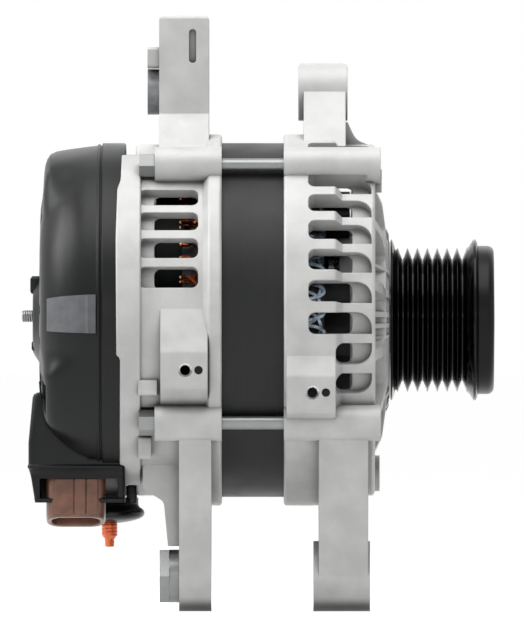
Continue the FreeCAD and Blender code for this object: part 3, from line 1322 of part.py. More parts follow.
def regulator_and_socket():
    """Voltage regulator seated on the rear wall, with the connector socket below it and its pins."""
    regulator = new_body("voltage_regulator")
    lean_z = "(socket_depth / 2 + key_height) * sin(socket_angle)"
    low_z = "-socket_mouth_z + socket_height * cos(socket_angle) + %s + regulator_seat_gap" % lean_z
    sketch = new_sketch(regulator, "XY_Plane", low_z)
    add_loop(sketch, box_corners("rear_wall_x - regulator_length", "rear_wall_x - wall_gap",
                                 "-regulator_y - regulator_width / 2", "-regulator_y + regulator_width / 2",
                                 "regulator_corner"))
    extrude(regulator, sketch, "regulator_height")
    socket = new_body("connector_socket")
    outer = new_sketch(socket, "XY_Plane")
    add_loop(outer, box_corners("-socket_length / 2", "socket_length / 2", "-socket_depth / 2",
                                "socket_depth / 2", "socket_corner"))
    extrude(socket, outer, "socket_height")
    key = new_sketch(socket, "XY_Plane")
    add_loop(key, box_corners("-key_width / 2", "key_width / 2", "-socket_depth / 2 - key_height", "0"))
    extrude(socket, key, "socket_height")
    inside = new_sketch(socket, "XY_Plane")
    add_loop(inside, box_corners("-socket_length / 2 + socket_wall", "socket_length / 2 - socket_wall",
                                 "-socket_depth / 2 + socket_wall", "socket_depth / 2 - socket_wall", "1"))
    extrude(socket, inside, "socket_height - socket_floor", cut=True)
    pins = new_body("connector_pins")
    first = new_sketch(pins, "XY_Plane", "socket_height - socket_floor - pin_length")
    row_start = "-pin_pitch * (pin_count - 1) / 2"
    add_loop(first, box_corners(row_start + " - pin_width / 2", row_start + " + pin_width / 2",
                                "-pin_thickness / 2", "pin_thickness / 2"))
    pin = extrude(pins, first, "pin_length")
    repeat_along(pins, [pin], "X_Axis", "pin_pitch", "pin_count")
    for body in (socket, pins):
        place_socket_piece(body)


def place_socket_piece(body):
    """Lean a piece built upright about the socket's mouth, and set it under the regulator."""
    base = V(size("-socket_x"), size("-socket_y"), size("-socket_mouth_z"))
    body.Placement = FreeCAD.Placement(base, FreeCAD.Rotation(V(1, 0, 0), size("-socket_angle")))
    bind(body, ".Placement.Base.x", "-socket_x")
    bind(body, ".Placement.Base.y", "-socket_y")
    bind(body, ".Placement.Base.z", "-socket_mouth_z")
    bind(body, ".Placement.Rotation.Angle", "-socket_angle")


def upright(body, z_low, height, radius, cut=False):
    """Round boss or bore on the output terminal's upright axis."""
    sketch = new_sketch(body, "XY_Plane", z_low)
    add_circle(sketch, "-terminal_x", "terminal_y", radius)
    return extrude(body, sketch, height, cut)


def output_terminal():
    """Output stud, pointing down out of its insulating cup."""
    cup = new_body("terminal_insulator")
    rim_top = "-insulator_rim_z + insulator_rim_height"
    upright(cup, "-insulator_rim_z", "insulator_rim_height", "insulator_rim_radius")
    upright(cup, rim_top, "-cover_radius - insulator_gap - (%s)" % rim_top, "insulator_neck_radius")
    upright(cup, "-insulator_rim_z", "insulator_rim_height - insulator_wall",
            "insulator_rim_radius - insulator_wall", cut=True)
    upright(cup, "-insulator_rim_z", "insulator_rim_z - cover_radius + cover_neck_depth",
            "terminal_shank_radius", cut=True)
    stud = new_body("terminal_stud")
    thread_z = "-terminal_end_z + terminal_tip_length"
    shank_z = thread_z + " + terminal_thread_length"
    upright(stud, "-terminal_end_z", "terminal_tip_length", "terminal_tip_radius")
    upright(stud, thread_z, "terminal_thread_length", "terminal_stud_radius")
    upright(stud, shank_z, "-output_tab_z + output_tab - (%s)" % shank_z, "terminal_shank_radius")
    upright(stud, "-output_tab_z + output_tab", "terminal_head", "terminal_head_radius")


def ear_bushes():
    """Steel bushes of the rear ears: a plain sleeve above, a threaded hexagon below."""
    upper = new_body("upper_ear_bush")
    ear_right = "rear_joint_x - rear_upper_ear_offset"
    length = "rear_upper_ear_width + rear_ear_hood_reach"
    tube(upper, "%s - (%s)" % (ear_right, length), length, "upper_ear_y", "upper_ear_z", "upper_bush_radius",
         "upper_bush_bore / 2")
    lower = new_body("lower_ear_bush")
    ear_left = "rear_joint_x - rear_lower_ear_offset - rear_lower_ear_width"
    hex_x = ear_left + " - lower_bush_collar_length - lower_bush_hex_length"
    rod(lower, ear_left, "rear_lower_ear_width", "-lower_ear_y", "-lower_ear_z", "lower_bush_shank_radius")
    rod(lower, ear_left + " - lower_bush_collar_length", "lower_bush_collar_length", "-lower_ear_y",
        "-lower_ear_z", "lower_bush_collar_radius")
    plate(lower, hex_x, "lower_bush_hex_length", hexagon("-lower_ear_y", "-lower_ear_z", "lower_bush_flats"))
    rod(lower, hex_x, "rear_lower_ear_width + lower_bush_collar_length + lower_bush_hex_length",
        "-lower_ear_y", "-lower_ear_z", "lower_bush_bore / 2", cut=True)


def pulley():
    """Grooved shell, hub with rollers, side bearings and cap of the one-way pulley."""
    shell = new_body("pulley_shell")
    revolve(shell, [
        ("pulley_rear_x", "clutch_bore_radius"),
        ("pulley_rear_x", "flange_tip_radius", "flange_corner"),
        ("pulley_rear_x + rear_flange_width", "flange_tip_radius", "flange_edge"),
        ("pulley_rear_x + rear_flange_width", "ridge_radius"),
        ("groove_band / 2", "ridge_radius"),
        ("groove_band / 2", "flange_tip_radius", "flange_edge"),
        ("pulley_front_x", "flange_tip_radius", "flange_corner"),
        ("pulley_front_x", "clutch_bore_radius"),
    ])
    groove = revolve(shell, [
        ("-groove_band / 2", "ridge_radius + groove_overcut"),
        ("-groove_band / 2 + groove_pitch / 2", "groove_bottom_radius"),
        ("-groove_band / 2 + groove_pitch", "ridge_radius + groove_overcut"),
    ], cut=True)
    repeat_along(shell, [groove], "X_Axis", "groove_pitch", "groove_count")
    hub = new_body("pulley_hub")
    revolve(hub, [
        ("front_bearing_x", "front_bearing_bore"),
        ("front_bearing_x", "front_bearing_bore + race_thickness"),
        ("pulley_rear_x", "front_bearing_bore + race_thickness"),
        ("pulley_rear_x", "clutch_hub_radius"),
        ("pulley_front_x - 1", "clutch_hub_radius"),
        ("pulley_front_x - 1", "shaft_thread_radius"),
        ("pulley_rear_x", "shaft_thread_radius"),
        ("pulley_rear_x", "front_bearing_bore"),
    ])
    rollers = new_body("clutch_rollers")
    roller = rod(rollers, "-clutch_roller_length / 2", "clutch_roller_length",
                 "-(clutch_bore_radius + clutch_hub_radius) / 2", "0",
                 "(clutch_bore_radius - clutch_hub_radius) / 2 - seal_gap")
    repeat_round(rollers, [roller], "clutch_roller_count")
    bearings = new_body("clutch_bearings")
    for low in ("-clutch_roller_length / 2 - 1 - clutch_bearing_width", "clutch_roller_length / 2 + 1"):
        revolve(bearings, box_corners(low, low + " + clutch_bearing_width", "clutch_hub_radius + seal_gap",
                                      "clutch_bore_radius"))
    cap = new_body("pulley_cap")
    cap_x = "pulley_front_x + pulley_cap_length"
    revolve(cap, [
        ("pulley_front_x", "pulley_cap_radius - pulley_cap_wall"),
        ("pulley_front_x", "pulley_cap_radius"),
        (cap_x + " - pulley_cap_crown", "pulley_cap_radius", "pulley_cap_corner"),
        (cap_x, "0"),
        (cap_x + " - pulley_cap_wall", "0"),
        (cap_x + " - pulley_cap_wall - pulley_cap_crown", "pulley_cap_radius - pulley_cap_wall"),
    ])


def check_and_write():
    """Recompute, refuse anything failed or empty, and write each sub-part."""
    for item in DOC.Objects:
        if item.TypeId.startswith("PartDesign::") and "Refine" in item.PropertiesList:
            item.Refine = False
    for body in DOC.Objects:
        if body.TypeId == "PartDesign::Body":
            body.Tip.Refine = True
    DOC.recompute()
    for item in DOC.Objects:
        if "Invalid" in item.State or "Error" in item.State:
            raise RuntimeError("%s failed: %s" % (item.Name, item.State))
    os.makedirs("parts", exist_ok=True)
    for body in DOC.Objects:
        if body.TypeId != "PartDesign::Body":
            continue
        shape = body.Shape
        if shape.isNull() or not shape.isValid():
            raise RuntimeError("%s has no valid shape" % body.Label)
        shape.exportStep("parts/%s.step" % body.Label)
        print(body.Label, len(shape.Solids), round(shape.Volume, 1))


fill_sheet()
drive_end_bracket()
rear_bracket()
tie_bolts()
stator_core()
hairpin_windings()
welded_ends()
bearing("front_bearing", "front_bearing_end_x", "front_bearing_width", "front_bearing_radius",
        "front_bearing_bore")
bearing("rear_bearing", "rear_bearing_end_x", "rear_bearing_width", "rear_bearing_radius",
        "rear_bearing_bore")
bearing_retainer()
rotor_shaft()
pole_core("front_pole_core", "rotor_front_x", "-", "180 / claw_count")
pole_core("rear_pole_core", "rotor_rear_x", "+", "0")
field_coil()
fan("front_fan", "rotor_front_x", "rotor_front_x", "shaft_core_radius")
fan("rear_fan", "rotor_rear_x - fan_plate", "rotor_rear_x - fan_blade_height",
    "rear_bearing_bore + shaft_shoulder")
slip_rings()
brush_gear()
rear_cover()
cover_fasteners()
rectifier()
regulator_and_socket()
output_terminal()
ear_bushes()
pulley()
check_and_write()
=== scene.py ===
import json
import math

import bmesh
import bpy
import numpy as np
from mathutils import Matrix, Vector


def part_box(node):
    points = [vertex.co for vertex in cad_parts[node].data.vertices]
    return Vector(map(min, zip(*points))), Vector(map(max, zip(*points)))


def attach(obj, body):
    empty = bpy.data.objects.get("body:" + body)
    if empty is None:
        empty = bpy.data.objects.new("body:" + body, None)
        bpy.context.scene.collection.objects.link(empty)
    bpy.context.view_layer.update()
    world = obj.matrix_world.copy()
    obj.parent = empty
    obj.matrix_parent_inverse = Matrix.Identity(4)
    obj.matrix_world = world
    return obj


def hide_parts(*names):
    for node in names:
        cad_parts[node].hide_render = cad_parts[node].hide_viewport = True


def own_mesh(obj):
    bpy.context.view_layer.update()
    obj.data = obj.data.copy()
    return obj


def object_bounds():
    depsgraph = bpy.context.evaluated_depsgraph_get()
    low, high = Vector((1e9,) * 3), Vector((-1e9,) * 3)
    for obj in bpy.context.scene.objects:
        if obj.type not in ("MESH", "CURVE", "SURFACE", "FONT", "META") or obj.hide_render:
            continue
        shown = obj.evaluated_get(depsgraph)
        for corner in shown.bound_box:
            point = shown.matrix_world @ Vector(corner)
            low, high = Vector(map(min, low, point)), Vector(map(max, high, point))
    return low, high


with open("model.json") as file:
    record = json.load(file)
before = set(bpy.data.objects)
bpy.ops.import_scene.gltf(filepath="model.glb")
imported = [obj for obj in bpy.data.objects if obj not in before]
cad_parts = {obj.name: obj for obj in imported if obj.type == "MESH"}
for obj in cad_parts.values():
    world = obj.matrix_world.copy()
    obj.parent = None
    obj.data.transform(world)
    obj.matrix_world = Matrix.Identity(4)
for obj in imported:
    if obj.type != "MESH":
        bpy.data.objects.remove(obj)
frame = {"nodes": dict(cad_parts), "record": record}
CAD_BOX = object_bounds()

bl_info = {
    "name": "Alternator looks",
    "version": (1, 1, 0),
    "blender": (4, 5, 0),
    "location": "View3D > Sidebar > Alternator",
    "description": "Cover, socket, windings, fans, pulley, threads, materials and studio of a car alternator",
    "category": "Object",
}

# One millimetre in the frame's metres, a full turn, and the direction along the shaft
MM = 0.001
TURN = 2 * math.pi
ALONG = np.array([1.0, 0.0, 0.0])


# ---------------------------------------------------------------- sizes

class CoverSizes(bpy.types.PropertyGroup):
    """Sizes of the moulded rear cover"""
    wall: bpy.props.FloatProperty(
        name="Wall", description="Thickness of the moulding", default=2.2 * MM, unit="LENGTH")
    crown_angle: bpy.props.FloatProperty(
        name="Crown", description="Half angle of the fuller crown at the rear face", default=math.radians(34),
        subtype="ANGLE")
    crown_blend: bpy.props.FloatProperty(
        name="Crown blend", description="Angle over which the crown runs into the dome",
        default=math.radians(15), subtype="ANGLE")
    vent_count: bpy.props.IntProperty(
        name="Vents", description="Slots round the hub", default=20, min=4)
    panel_proud: bpy.props.FloatProperty(
        name="Panel", description="Height of the bare panel over the dome", default=0.3 * MM, unit="LENGTH")


class WindingSizes(bpy.types.PropertyGroup):
    """Sizes of the stator's copper bars"""
    slot_count: bpy.props.IntProperty(
        name="Slots", description="Slots round the core", default=48, min=12)
    bar_width: bpy.props.FloatProperty(
        name="Bar width", description="Width of a bar round the bore", default=1.15 * MM, unit="LENGTH")
    bar_depth: bpy.props.FloatProperty(
        name="Bar depth", description="Depth of a bar along the radius", default=1.9 * MM, unit="LENGTH")
    loop_span: bpy.props.FloatProperty(
        name="Loop span", description="Slot pitches that one visible loop bridges", default=1.5, min=0.5)


class FanSizes(bpy.types.PropertyGroup):
    """Sizes of the two pressed fans"""
    blade_count: bpy.props.IntProperty(
        name="Blades", description="Blades on a fan", default=15, min=5)
    blade_sweep: bpy.props.FloatProperty(
        name="Sweep", description="Angle that a blade turns through from root to tip",
        default=math.radians(34), subtype="ANGLE")
    blade_root: bpy.props.FloatProperty(
        name="Root radius", description="Radius at which a blade begins", default=22.0 * MM, unit="LENGTH")
    sheet: bpy.props.FloatProperty(
        name="Sheet", description="Thickness of the pressed sheet", default=1.3 * MM, unit="LENGTH")


class PulleySizes(bpy.types.PropertyGroup):
    """Sizes of the grooved pulley shell"""
    pitch: bpy.props.FloatProperty(
        name="Groove pitch", description="Distance between the belt grooves", default=3.56 * MM, unit="LENGTH")
    groove_count: bpy.props.IntProperty(
        name="Grooves", description="Belt grooves", default=7, min=3)
    ridge_radius: bpy.props.FloatProperty(
        name="Ridge radius", description="Radius over the ridges", default=25.9 * MM, unit="LENGTH")
    valley_radius: bpy.props.FloatProperty(
        name="Valley radius", description="Radius at the groove bottoms", default=22.0 * MM, unit="LENGTH")
    flange_radius: bpy.props.FloatProperty(
        name="Flange radius", description="Radius over the flange tips", default=29.0 * MM, unit="LENGTH")


class ThreadSizes(bpy.types.PropertyGroup):
    """Sizes of the visible screw threads"""
    stud_pitch: bpy.props.FloatProperty(
        name="Output stud pitch", description="Pitch of the output stud's thread", default=1.25 * MM,
        unit="LENGTH")
    rear_pitch: bpy.props.FloatProperty(
        name="Rear stud pitch", description="Pitch of the rear stud's thread", default=0.8 * MM, unit="LENGTH")
    block_pitch: bpy.props.FloatProperty(
        name="Block thread pitch", description="Pitch of the threads in the block bosses", default=1.0 * MM,
        unit="LENGTH")


class FinishColours(bpy.types.PropertyGroup):
    """Colours of the main finishes, as sRGB hex"""
    casting: bpy.props.StringProperty(
        name="Casting", description="Blasted aluminium", default="#CBCBC9")
    cover: bpy.props.StringProperty(
        name="Cover", description="Moulded nylon", default="#101213")
    socket: bpy.props.StringProperty(
        name="Socket", description="Moulded polyester", default="#7A4E3B")
    stud: bpy.props.StringProperty(
        name="Output stud", description="Lacquered stud", default="#FF7A32")
    pulley: bpy.props.StringProperty(
        name="Pulley", description="Black electrocoat", default="#010101")
    backdrop: bpy.props.StringProperty(
        name="Backdrop", description="Floor and background", default="#FFFFFF")


class StudioSizes(bpy.types.PropertyGroup):
    """Camera, lamps and floor"""
    camera_distance: bpy.props.FloatProperty(
        name="Camera distance", description="From the shaft to the camera", default=7.5, unit="LENGTH")
    view_height: bpy.props.FloatProperty(
        name="View height", description="Height that the picture takes in at the shaft", default=0.2268,
        unit="LENGTH")
    aim_x: bpy.props.FloatProperty(
        name="Aim along shaft", description="Picture centre along the shaft", default=-0.0613, unit="LENGTH")
    aim_z: bpy.props.FloatProperty(
        name="Aim height", description="Picture centre above the shaft", default=0.0018, unit="LENGTH")
    floor_size: bpy.props.FloatProperty(
        name="Floor size", description="Edge of the square floor", default=60.0, unit="LENGTH")
    key_power: bpy.props.FloatProperty(
        name="Key power", description="Power of the overhead softbox", default=16.5, unit="POWER")
    fill_power: bpy.props.FloatProperty(
        name="Fill power", description="Power of the side softboxes", default=1.6, unit="POWER")
    front_power: bpy.props.FloatProperty(
        name="Front power", description="Power of the small lamp by the camera", default=0.9, unit="POWER")
    air_light: bpy.props.FloatProperty(
        name="Air light", description="Strength of the even light from all round", default=0.22, min=0)


# ---------------------------------------------------------------- node and colour helpers

def linear(code):
    """sRGB hex to linear RGBA: each channel over 255, then the sRGB curve undone."""
    channels = np.array([int(code[i:i + 2], 16) for i in (1, 3, 5)]) / 255
    low = channels / 12.92
    high = ((channels + 0.055) / 1.055) ** 2.4
    return tuple(np.where(channels <= 0.04045, low, high)) + (1.0,)


def add_node(tree, kind, inputs=None, stops=(), **settings):
    """One node with its settings; an input is a value or the socket that feeds it, and stops are the places
    and sRGB colours of a ramp."""
    node = tree.nodes.new(kind)
    for name, value in settings.items():
        setattr(node, name, value)
    for name, value in (inputs or {}).items():
        socket = node.inputs[name]
        if isinstance(value, bpy.types.NodeSocket):
            tree.links.new(value, socket)
        else:
            socket.default_value = value
    for index, (place, code) in enumerate(stops):
        node.color_ramp.elements[index].position = place
        node.color_ramp.elements[index].color = linear(code)
    return node


def finish(name, dark, light, patch=9.0, grain=0.5, grain_stretch=(1.0, 1.0, 1.0), depth=0.1, edge=0.3,
           roughness=0.5, spread=0.06, grain_shade=0.0, painted_shade=None, **shader_inputs):
    """Material of one finish. Noise with blobs of patch millimetres blends the dark colour into the light one
    and dulls the gloss by the spread. Noise of grain millimetres, with no change along an axis whose stretch
    is 0, is a bump of the given depth over edges rounded by edge, and darkens the colour by grain_shade.
    Where a shade colour and a reach are given, they paint shade: surfaces that close in on each other within the
    reach take that colour."""
    material = bpy.data.materials.new(name)
    material.use_nodes = True
    tree = material.node_tree
    tree.nodes.clear()
    place = add_node(tree, "ShaderNodeTexCoord").outputs["Object"]
    noises = []
    for size, stretch, detail in ((patch, (1.0, 1.0, 1.0), 4.0), (grain, grain_stretch, 2.0)):
        mapping = add_node(tree, "ShaderNodeMapping", {
            "Vector": place, "Scale": tuple(s / (size * MM) for s in stretch)})
        noises.append(add_node(tree, "ShaderNodeTexNoise", {
            "Vector": mapping.outputs["Vector"], "Scale": 1.0, "Detail": detail}).outputs["Fac"])
    clouds, grains = noises
    colour = add_node(tree, "ShaderNodeValToRGB", {"Fac": clouds}, ((0.35, dark), (0.65, light))).outputs["Color"]
    if grain_shade:
        shade = add_node(tree, "ShaderNodeMapRange", {
            "Value": grains, "From Min": 0.3, "From Max": 0.55, "To Min": grain_shade, "To Max": 0.0})
        colour = add_node(tree, "ShaderNodeMix", {
            "Factor": shade.outputs["Result"], "A": colour, "B": (0.0, 0.0, 0.0, 1.0)},
            data_type="RGBA").outputs["Result"]
    # Painted shade: the colour is pulled towards the shade colour where ambient occlusion finds other surfaces
    # close by
    if painted_shade:
        shade_colour, reach = painted_shade
        closeness = add_node(tree, "ShaderNodeAmbientOcclusion", {"Distance": reach * MM}, samples=6)
        share = add_node(tree, "ShaderNodeMapRange", {
            "Value": closeness.outputs["AO"], "From Min": 0.2, "From Max": 0.8})
        colour = add_node(tree, "ShaderNodeMix", {
            "Factor": share.outputs["Result"], "A": linear(shade_colour), "B": colour},
            data_type="RGBA").outputs["Result"]
    dull = add_node(tree, "ShaderNodeMapRange", {
        "Value": clouds, "From Min": 0.3, "From Max": 0.7,
        "To Min": roughness - spread, "To Max": roughness + spread})
    rounding = add_node(tree, "ShaderNodeBevel", {"Radius": edge * MM}, samples=4)
    bump = add_node(tree, "ShaderNodeBump", {
        "Height": grains, "Distance": depth * MM, "Strength": 0.5, "Normal": rounding.outputs["Normal"]})
    shader = add_node(tree, "ShaderNodeBsdfPrincipled", {
        "Base Color": colour, "Roughness": dull.outputs["Result"], "Normal": bump.outputs["Normal"],
        **{key.replace("_", " ").title().replace("Ior", "IOR"): value for key, value in shader_inputs.items()}})
    add_node(tree, "ShaderNodeOutputMaterial", {"Surface": shader.outputs["BSDF"]})
    return material


def make_materials(colours):
    """Every finish of the alternator, by the short name that the pieces ask for."""
    return {
        # Die-cast aluminium, shot blasted: pale and satin, with a fine grain and soft edges, and painted shade
        # that greys its corners and recesses.
        # Shot dents are about 0.3 mm wide and are drawn at 0.6 mm so that they show
        "casting": finish("die_cast_aluminium_shot_blasted", "#BCBCBB", colours.casting, patch=11.0, grain=0.6,
                          depth=0.12, edge=0.6, roughness=0.5, painted_shade=("#3E3F41", 6.0), metallic=0.12),
        # Stacked steel sheets under varnish: charcoal with upright sheet lines. Sheets are 0.5 mm thick and
        # are drawn at 1.1 mm so that they show
        "core": finish("electrical_steel_laminated_varnished", "#0F1011", "#19191B", patch=16.0, grain=1.1,
                       grain_stretch=(1.0, 0.0, 0.0), depth=0.12, roughness=0.5, grain_shade=0.35,
                       ior=1.5, specular_ior_level=0.28),
        # Glass-filled nylon, moulded: near black with a spark-eroded grain that gives a wide soft shine.
        # The grain is about 0.2 mm and is drawn at 0.7 mm
        "cover": finish("glass_filled_nylon_moulded", "#0A0B0C", colours.cover, patch=24.0, grain=0.7,
                        depth=0.06, edge=0.7, roughness=0.38, ior=1.5, specular_ior_level=0.22),
        # The same nylon rubbed matt where a label would sit: lighter and without shine
        "panel": finish("glass_filled_nylon_matt", "#5E5F62", "#6C6D70", patch=5.0, grain=0.5, depth=0.05,
                        edge=0.2, roughness=0.62, ior=1.5, specular_ior_level=0.3),
        # The same nylon from a polished tool: darker, with a tighter shine
        "cup": finish("glass_filled_nylon_polished", "#08090A", "#101112", patch=18.0, grain=0.8, depth=0.04,
                      edge=0.5, roughness=0.3, ior=1.5, specular_ior_level=0.25),
        # Thermoset polyester, moulded: brown, slightly mottled by its filler, with a waxy shine
        "socket": finish("polyester_moulded_brown", "#5E3B2C", colours.socket, patch=5.0, grain=0.6, depth=0.05,
                         edge=0.4, roughness=0.36, ior=1.52, coat_weight=0.2, coat_roughness=0.25),
        # Natural nylon, moulded: ivory and slightly translucent to the eye
        "bobbin": finish("nylon_moulded_natural", "#CFC6AA", "#DCD4BC", patch=12.0, roughness=0.5, ior=1.5),
        # Phenolic, moulded: flat black with pale flow marks
        "phenolic": finish("phenolic_moulded_black", "#1C1E20", "#2A2C2E", patch=8.0, roughness=0.5, ior=1.5),
        # Steel thread under an orange lacquer: glossy, thinner and darker on the crests
        "stud": finish("lacquered_steel_thread", "#FF5C1C", colours.stud, patch=1.6, grain=0.5, depth=0.0,
                       edge=0.3, roughness=0.33, metallic=0.1, coat_weight=0.4, coat_roughness=0.2),
        # Turned steel under black electrocoat: deep black gloss with the rings of the lathe beneath
        "pulley": finish("turned_steel_electrocoated", colours.pulley, "#040404", patch=14.0, grain=0.5,
                         grain_stretch=(1.0, 0.0, 0.0), depth=0.02, edge=0.12, roughness=0.2,
                         ior=1.5, specular_ior_level=0.16),
        # Pressed steel cap under the same coat, a little duller and greyer
        "cap": finish("pressed_steel_electrocoated", "#060607", "#0B0B0C", patch=10.0, grain=0.9, depth=0.03,
                      edge=0.5, roughness=0.32, ior=1.5, specular_ior_level=0.15),
        # Zinc-plated steel: cool and bright, unevenly dulled by handling
        "zinc": finish("steel_zinc_plated", "#7E8080", "#8B8C8B", patch=20.0, grain=0.6, depth=0.03, edge=0.25,
                       roughness=0.38, metallic=0.75),
        # Black-oxide steel: dark with a faint oily shine
        "oxide": finish("steel_black_oxide", "#26282A", "#343638", patch=2.5, grain=0.6, depth=0.03, edge=0.3,
                        roughness=0.42, metallic=0.6),
        # Ground bearing steel: smooth and bright
        "ground": finish("bearing_steel_ground", "#8C9093", "#A6AAAD", patch=4.0, grain=0.4, depth=0.01,
                         edge=0.2, roughness=0.26, metallic=1.0),
        # Machined aluminium in the threaded bores: brighter than the blasted skin round them
        "cut": finish("aluminium_machined", "#C9CBCC", "#E6E8E9", patch=1.2, grain=0.4, depth=0.02, edge=0.05,
                      roughness=0.24, metallic=1.0),
        # Sintered steel, oil filled: dark grey with an open grain
        "bush": finish("steel_sintered", "#77797B", "#8E9092", patch=2.5, grain=0.5, depth=0.05, roughness=0.5,
                       metallic=0.3),
        # Forged steel, varnished with the coil: dark, with a scaly skin
        "forged": finish("steel_forged_varnished", "#232528", "#34373A", patch=4.0, grain=1.0, depth=0.1,
                         edge=0.8, roughness=0.5, metallic=0.5),
        # Phosphated sheet steel, pressed: dull near black
        "sheet": finish("steel_sheet_phosphated", "#141517", "#1F2123", patch=5.0, grain=0.5, depth=0.04,
                        roughness=0.52, metallic=0.3),
        # Rolled aluminium sheet: pale with the rolling lines along it
        "heat_sink": finish("aluminium_sheet_rolled", "#A4A7A9", "#BDC0C2", patch=6.0, grain=0.5,
                            grain_stretch=(0.0, 1.0, 0.1), depth=0.02, roughness=0.36, metallic=1.0),
        # Nickel-plated cases and pins: warm and bright
        "nickel": finish("nickel_plated_pressing", "#A3A29E", "#BAB9B4", patch=3.0, roughness=0.28,
                         metallic=1.0),
        # Drawn spring wire: bright along its length
        "spring": finish("spring_wire_drawn", "#9A9DA0", "#B4B7BA", patch=2.0, grain=0.3, depth=0.01,
                         roughness=0.25, metallic=1.0),
        # Tinned copper bar with a resin drip: silver grey, bluish in the shade, with a few copper spots
        "crown": finish("copper_bar_tinned_resin_dripped", "#3E474F", "#8B97A2", patch=2.6, grain=0.8,
                        depth=0.05, edge=0.25, roughness=0.28, metallic=0.85),
        # Slot paper and resin behind the loops and the welded ends: nearly black, and painted shade for the inside
        # of the winding
        "resin": finish("resin_paper_and_painted_shade", "#0C0D0E", "#1A1B1D", patch=3.0, grain=1.2, depth=0.2,
                        roughness=0.6),
        # Enamelled copper bar: deep red brown with bright copper where the light meets it
        "bare": finish("copper_bar_enamelled", "#1C0C07", "#8A3F18", patch=2.2, grain=0.8, depth=0.05,
                       edge=0.25, roughness=0.28, metallic=0.9),
        # Welded bar tips: small bright beads
        "bead": finish("copper_weld_bead", "#B98C6A", "#E3C7AE", patch=1.5, grain=0.5, depth=0.03,
                       roughness=0.22, metallic=1.0),
        # Pressed carbon and copper powder: dull black with fine metal specks
        "carbon": finish("carbon_pressed_brush", "#232326", "#5A463C", patch=0.5, grain=0.3, depth=0.03,
                         roughness=0.6, metallic=0.1),
    }


# CAD nodes that keep their solids, with the finish that each takes
NODE_FINISHES = {
    "casting": ["drive_end_bracket", "rear_bracket"],
    "core": ["stator_core"],
    "bobbin": ["coil_bobbin", "slip_ring_sleeve"],
    "phenolic": ["brush_holder", "terminal_block", "voltage_regulator"],
    "cap": ["pulley_cap"],
    "zinc": ["tie_bolts", "retainer_screws", "lower_ear_bush"],
    "oxide": ["cover_studs", "cover_nuts"],
    "ground": ["front_bearing_outer", "rear_bearing_outer", "front_bearing_inner", "rear_bearing_inner",
               "rotor_shaft", "bearing_retainer", "clutch_rollers", "pulley_hub", "clutch_bearings"],
    "bush": ["upper_ear_bush"],
    "forged": ["front_pole_core", "rear_pole_core"],
    "heat_sink": ["negative_heat_sink", "positive_heat_sink"],
    "nickel": ["negative_diodes", "positive_diodes", "connector_pins"],
    "bare": ["field_coil", "stator_leads", "slip_rings"],
    "carbon": ["front_brush", "rear_brush"],
}

MATERIALS = {}


# ---------------------------------------------------------------- mesh helpers

# Points nearer than this are one point
MERGE_REACH = 0.002 * MM


def grid_faces(rows, columns, close_rows=False):
    """Quads of a grid of points whose columns close on themselves, and whose rows do where asked."""
    row = np.arange(rows if close_rows else rows - 1)
    i, j = (index.ravel() for index in np.meshgrid(row, np.arange(columns), indexing="ij"))
    below, beside = (i + 1) % rows, (j + 1) % columns
    return np.stack([i * columns + j, i * columns + beside, below * columns + beside, below * columns + j], 1)


def spokes(angle):
    """Unit directions across the shaft: 0 along it, then sine and cosine of the angle from the top."""
    return np.stack([np.zeros_like(angle), np.sin(angle), np.cos(angle)], -1)


def unit(field):
    """Each direction of a field over its length."""
    return field / np.linalg.norm(field, axis=1)[:, None]


def apart(angle, other=0.0, turn=TURN):
    """Angle between two directions the shorter way round, where directions a turn apart are the same."""
    return np.abs((angle - other + turn / 2) % turn - turn / 2)


def new_piece(name, parts, body, finish_name, crease=30):
    """Mesh piece from (points, quads) pairs. Points that meet are merged, which closes seams and poles, faces
    are turned outwards, and edges sharper than the crease in degrees stay crisp."""
    points, quads = zip(*parts)
    starts = np.cumsum([0] + [len(part) for part in points[:-1]])
    faces = np.concatenate([part + start for part, start in zip(quads, starts)])
    mesh = bpy.data.meshes.new(name)
    mesh.from_pydata(np.concatenate(points).tolist(), [], faces.tolist())
    work = bmesh.new()
    work.from_mesh(mesh)
    bmesh.ops.remove_doubles(work, verts=work.verts, dist=MERGE_REACH)
    bmesh.ops.recalc_face_normals(work, faces=work.faces)
    work.to_mesh(mesh)
    work.free()
    mesh.shade_smooth()
    mesh.set_sharp_from_angle(angle=math.radians(crease))
    mesh.materials.append(MATERIALS[finish_name])
    piece = bpy.data.objects.new(name, mesh)
    bpy.context.scene.collection.objects.link(piece)
    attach(piece, body)
    return piece


def turned(profile, steps=96, upright=False, centre=(0.0, 0.0, 0.0), close_rows=False):
    """Profile of (along, radius) rows swept round the shaft, or round an upright axis: the two directions
    across the axis are radius times sine and cosine of the angle."""
    angle = np.linspace(0, TURN, steps, endpoint=False)
    along, radius = np.asarray(profile, float).T
    across = [radius[:, None] * np.sin(angle), radius[:, None] * np.cos(angle)]
    length = np.repeat(along[:, None], steps, 1)
    points = np.stack(across + [length] if upright else [length] + across, 2)
    return points.reshape(-1, 3) + centre, grid_faces(len(along), steps, close_rows)


def swept_bar(path, across, along, width, depth):
    """Flat bar carried along a path, width to one direction and depth to the other, each the same all along or
    given point by point, with both ends closed by a narrower ring and a middle point, as a sheared bar has."""
    corners = np.array([[-1, -1], [1, -1], [1, 1], [-1, 1]]) / 2
    path, across, along = (np.concatenate([field[:1], field[:1], field, field[-1:], field[-1:]])
                           for field in np.broadcast_arrays(path, across, along))
    size = np.concatenate([[0.0, 0.7], np.ones(len(path) - 4), [0.7, 0.0]])[:, None, None]
    rings = path[:, None, :] + size * (corners[None, :, :1] * width * across[:, None, :]
                                       + corners[None, :, 1:] * depth * along[:, None, :])
    return rings.reshape(-1, 3), grid_faces(len(path), 4)


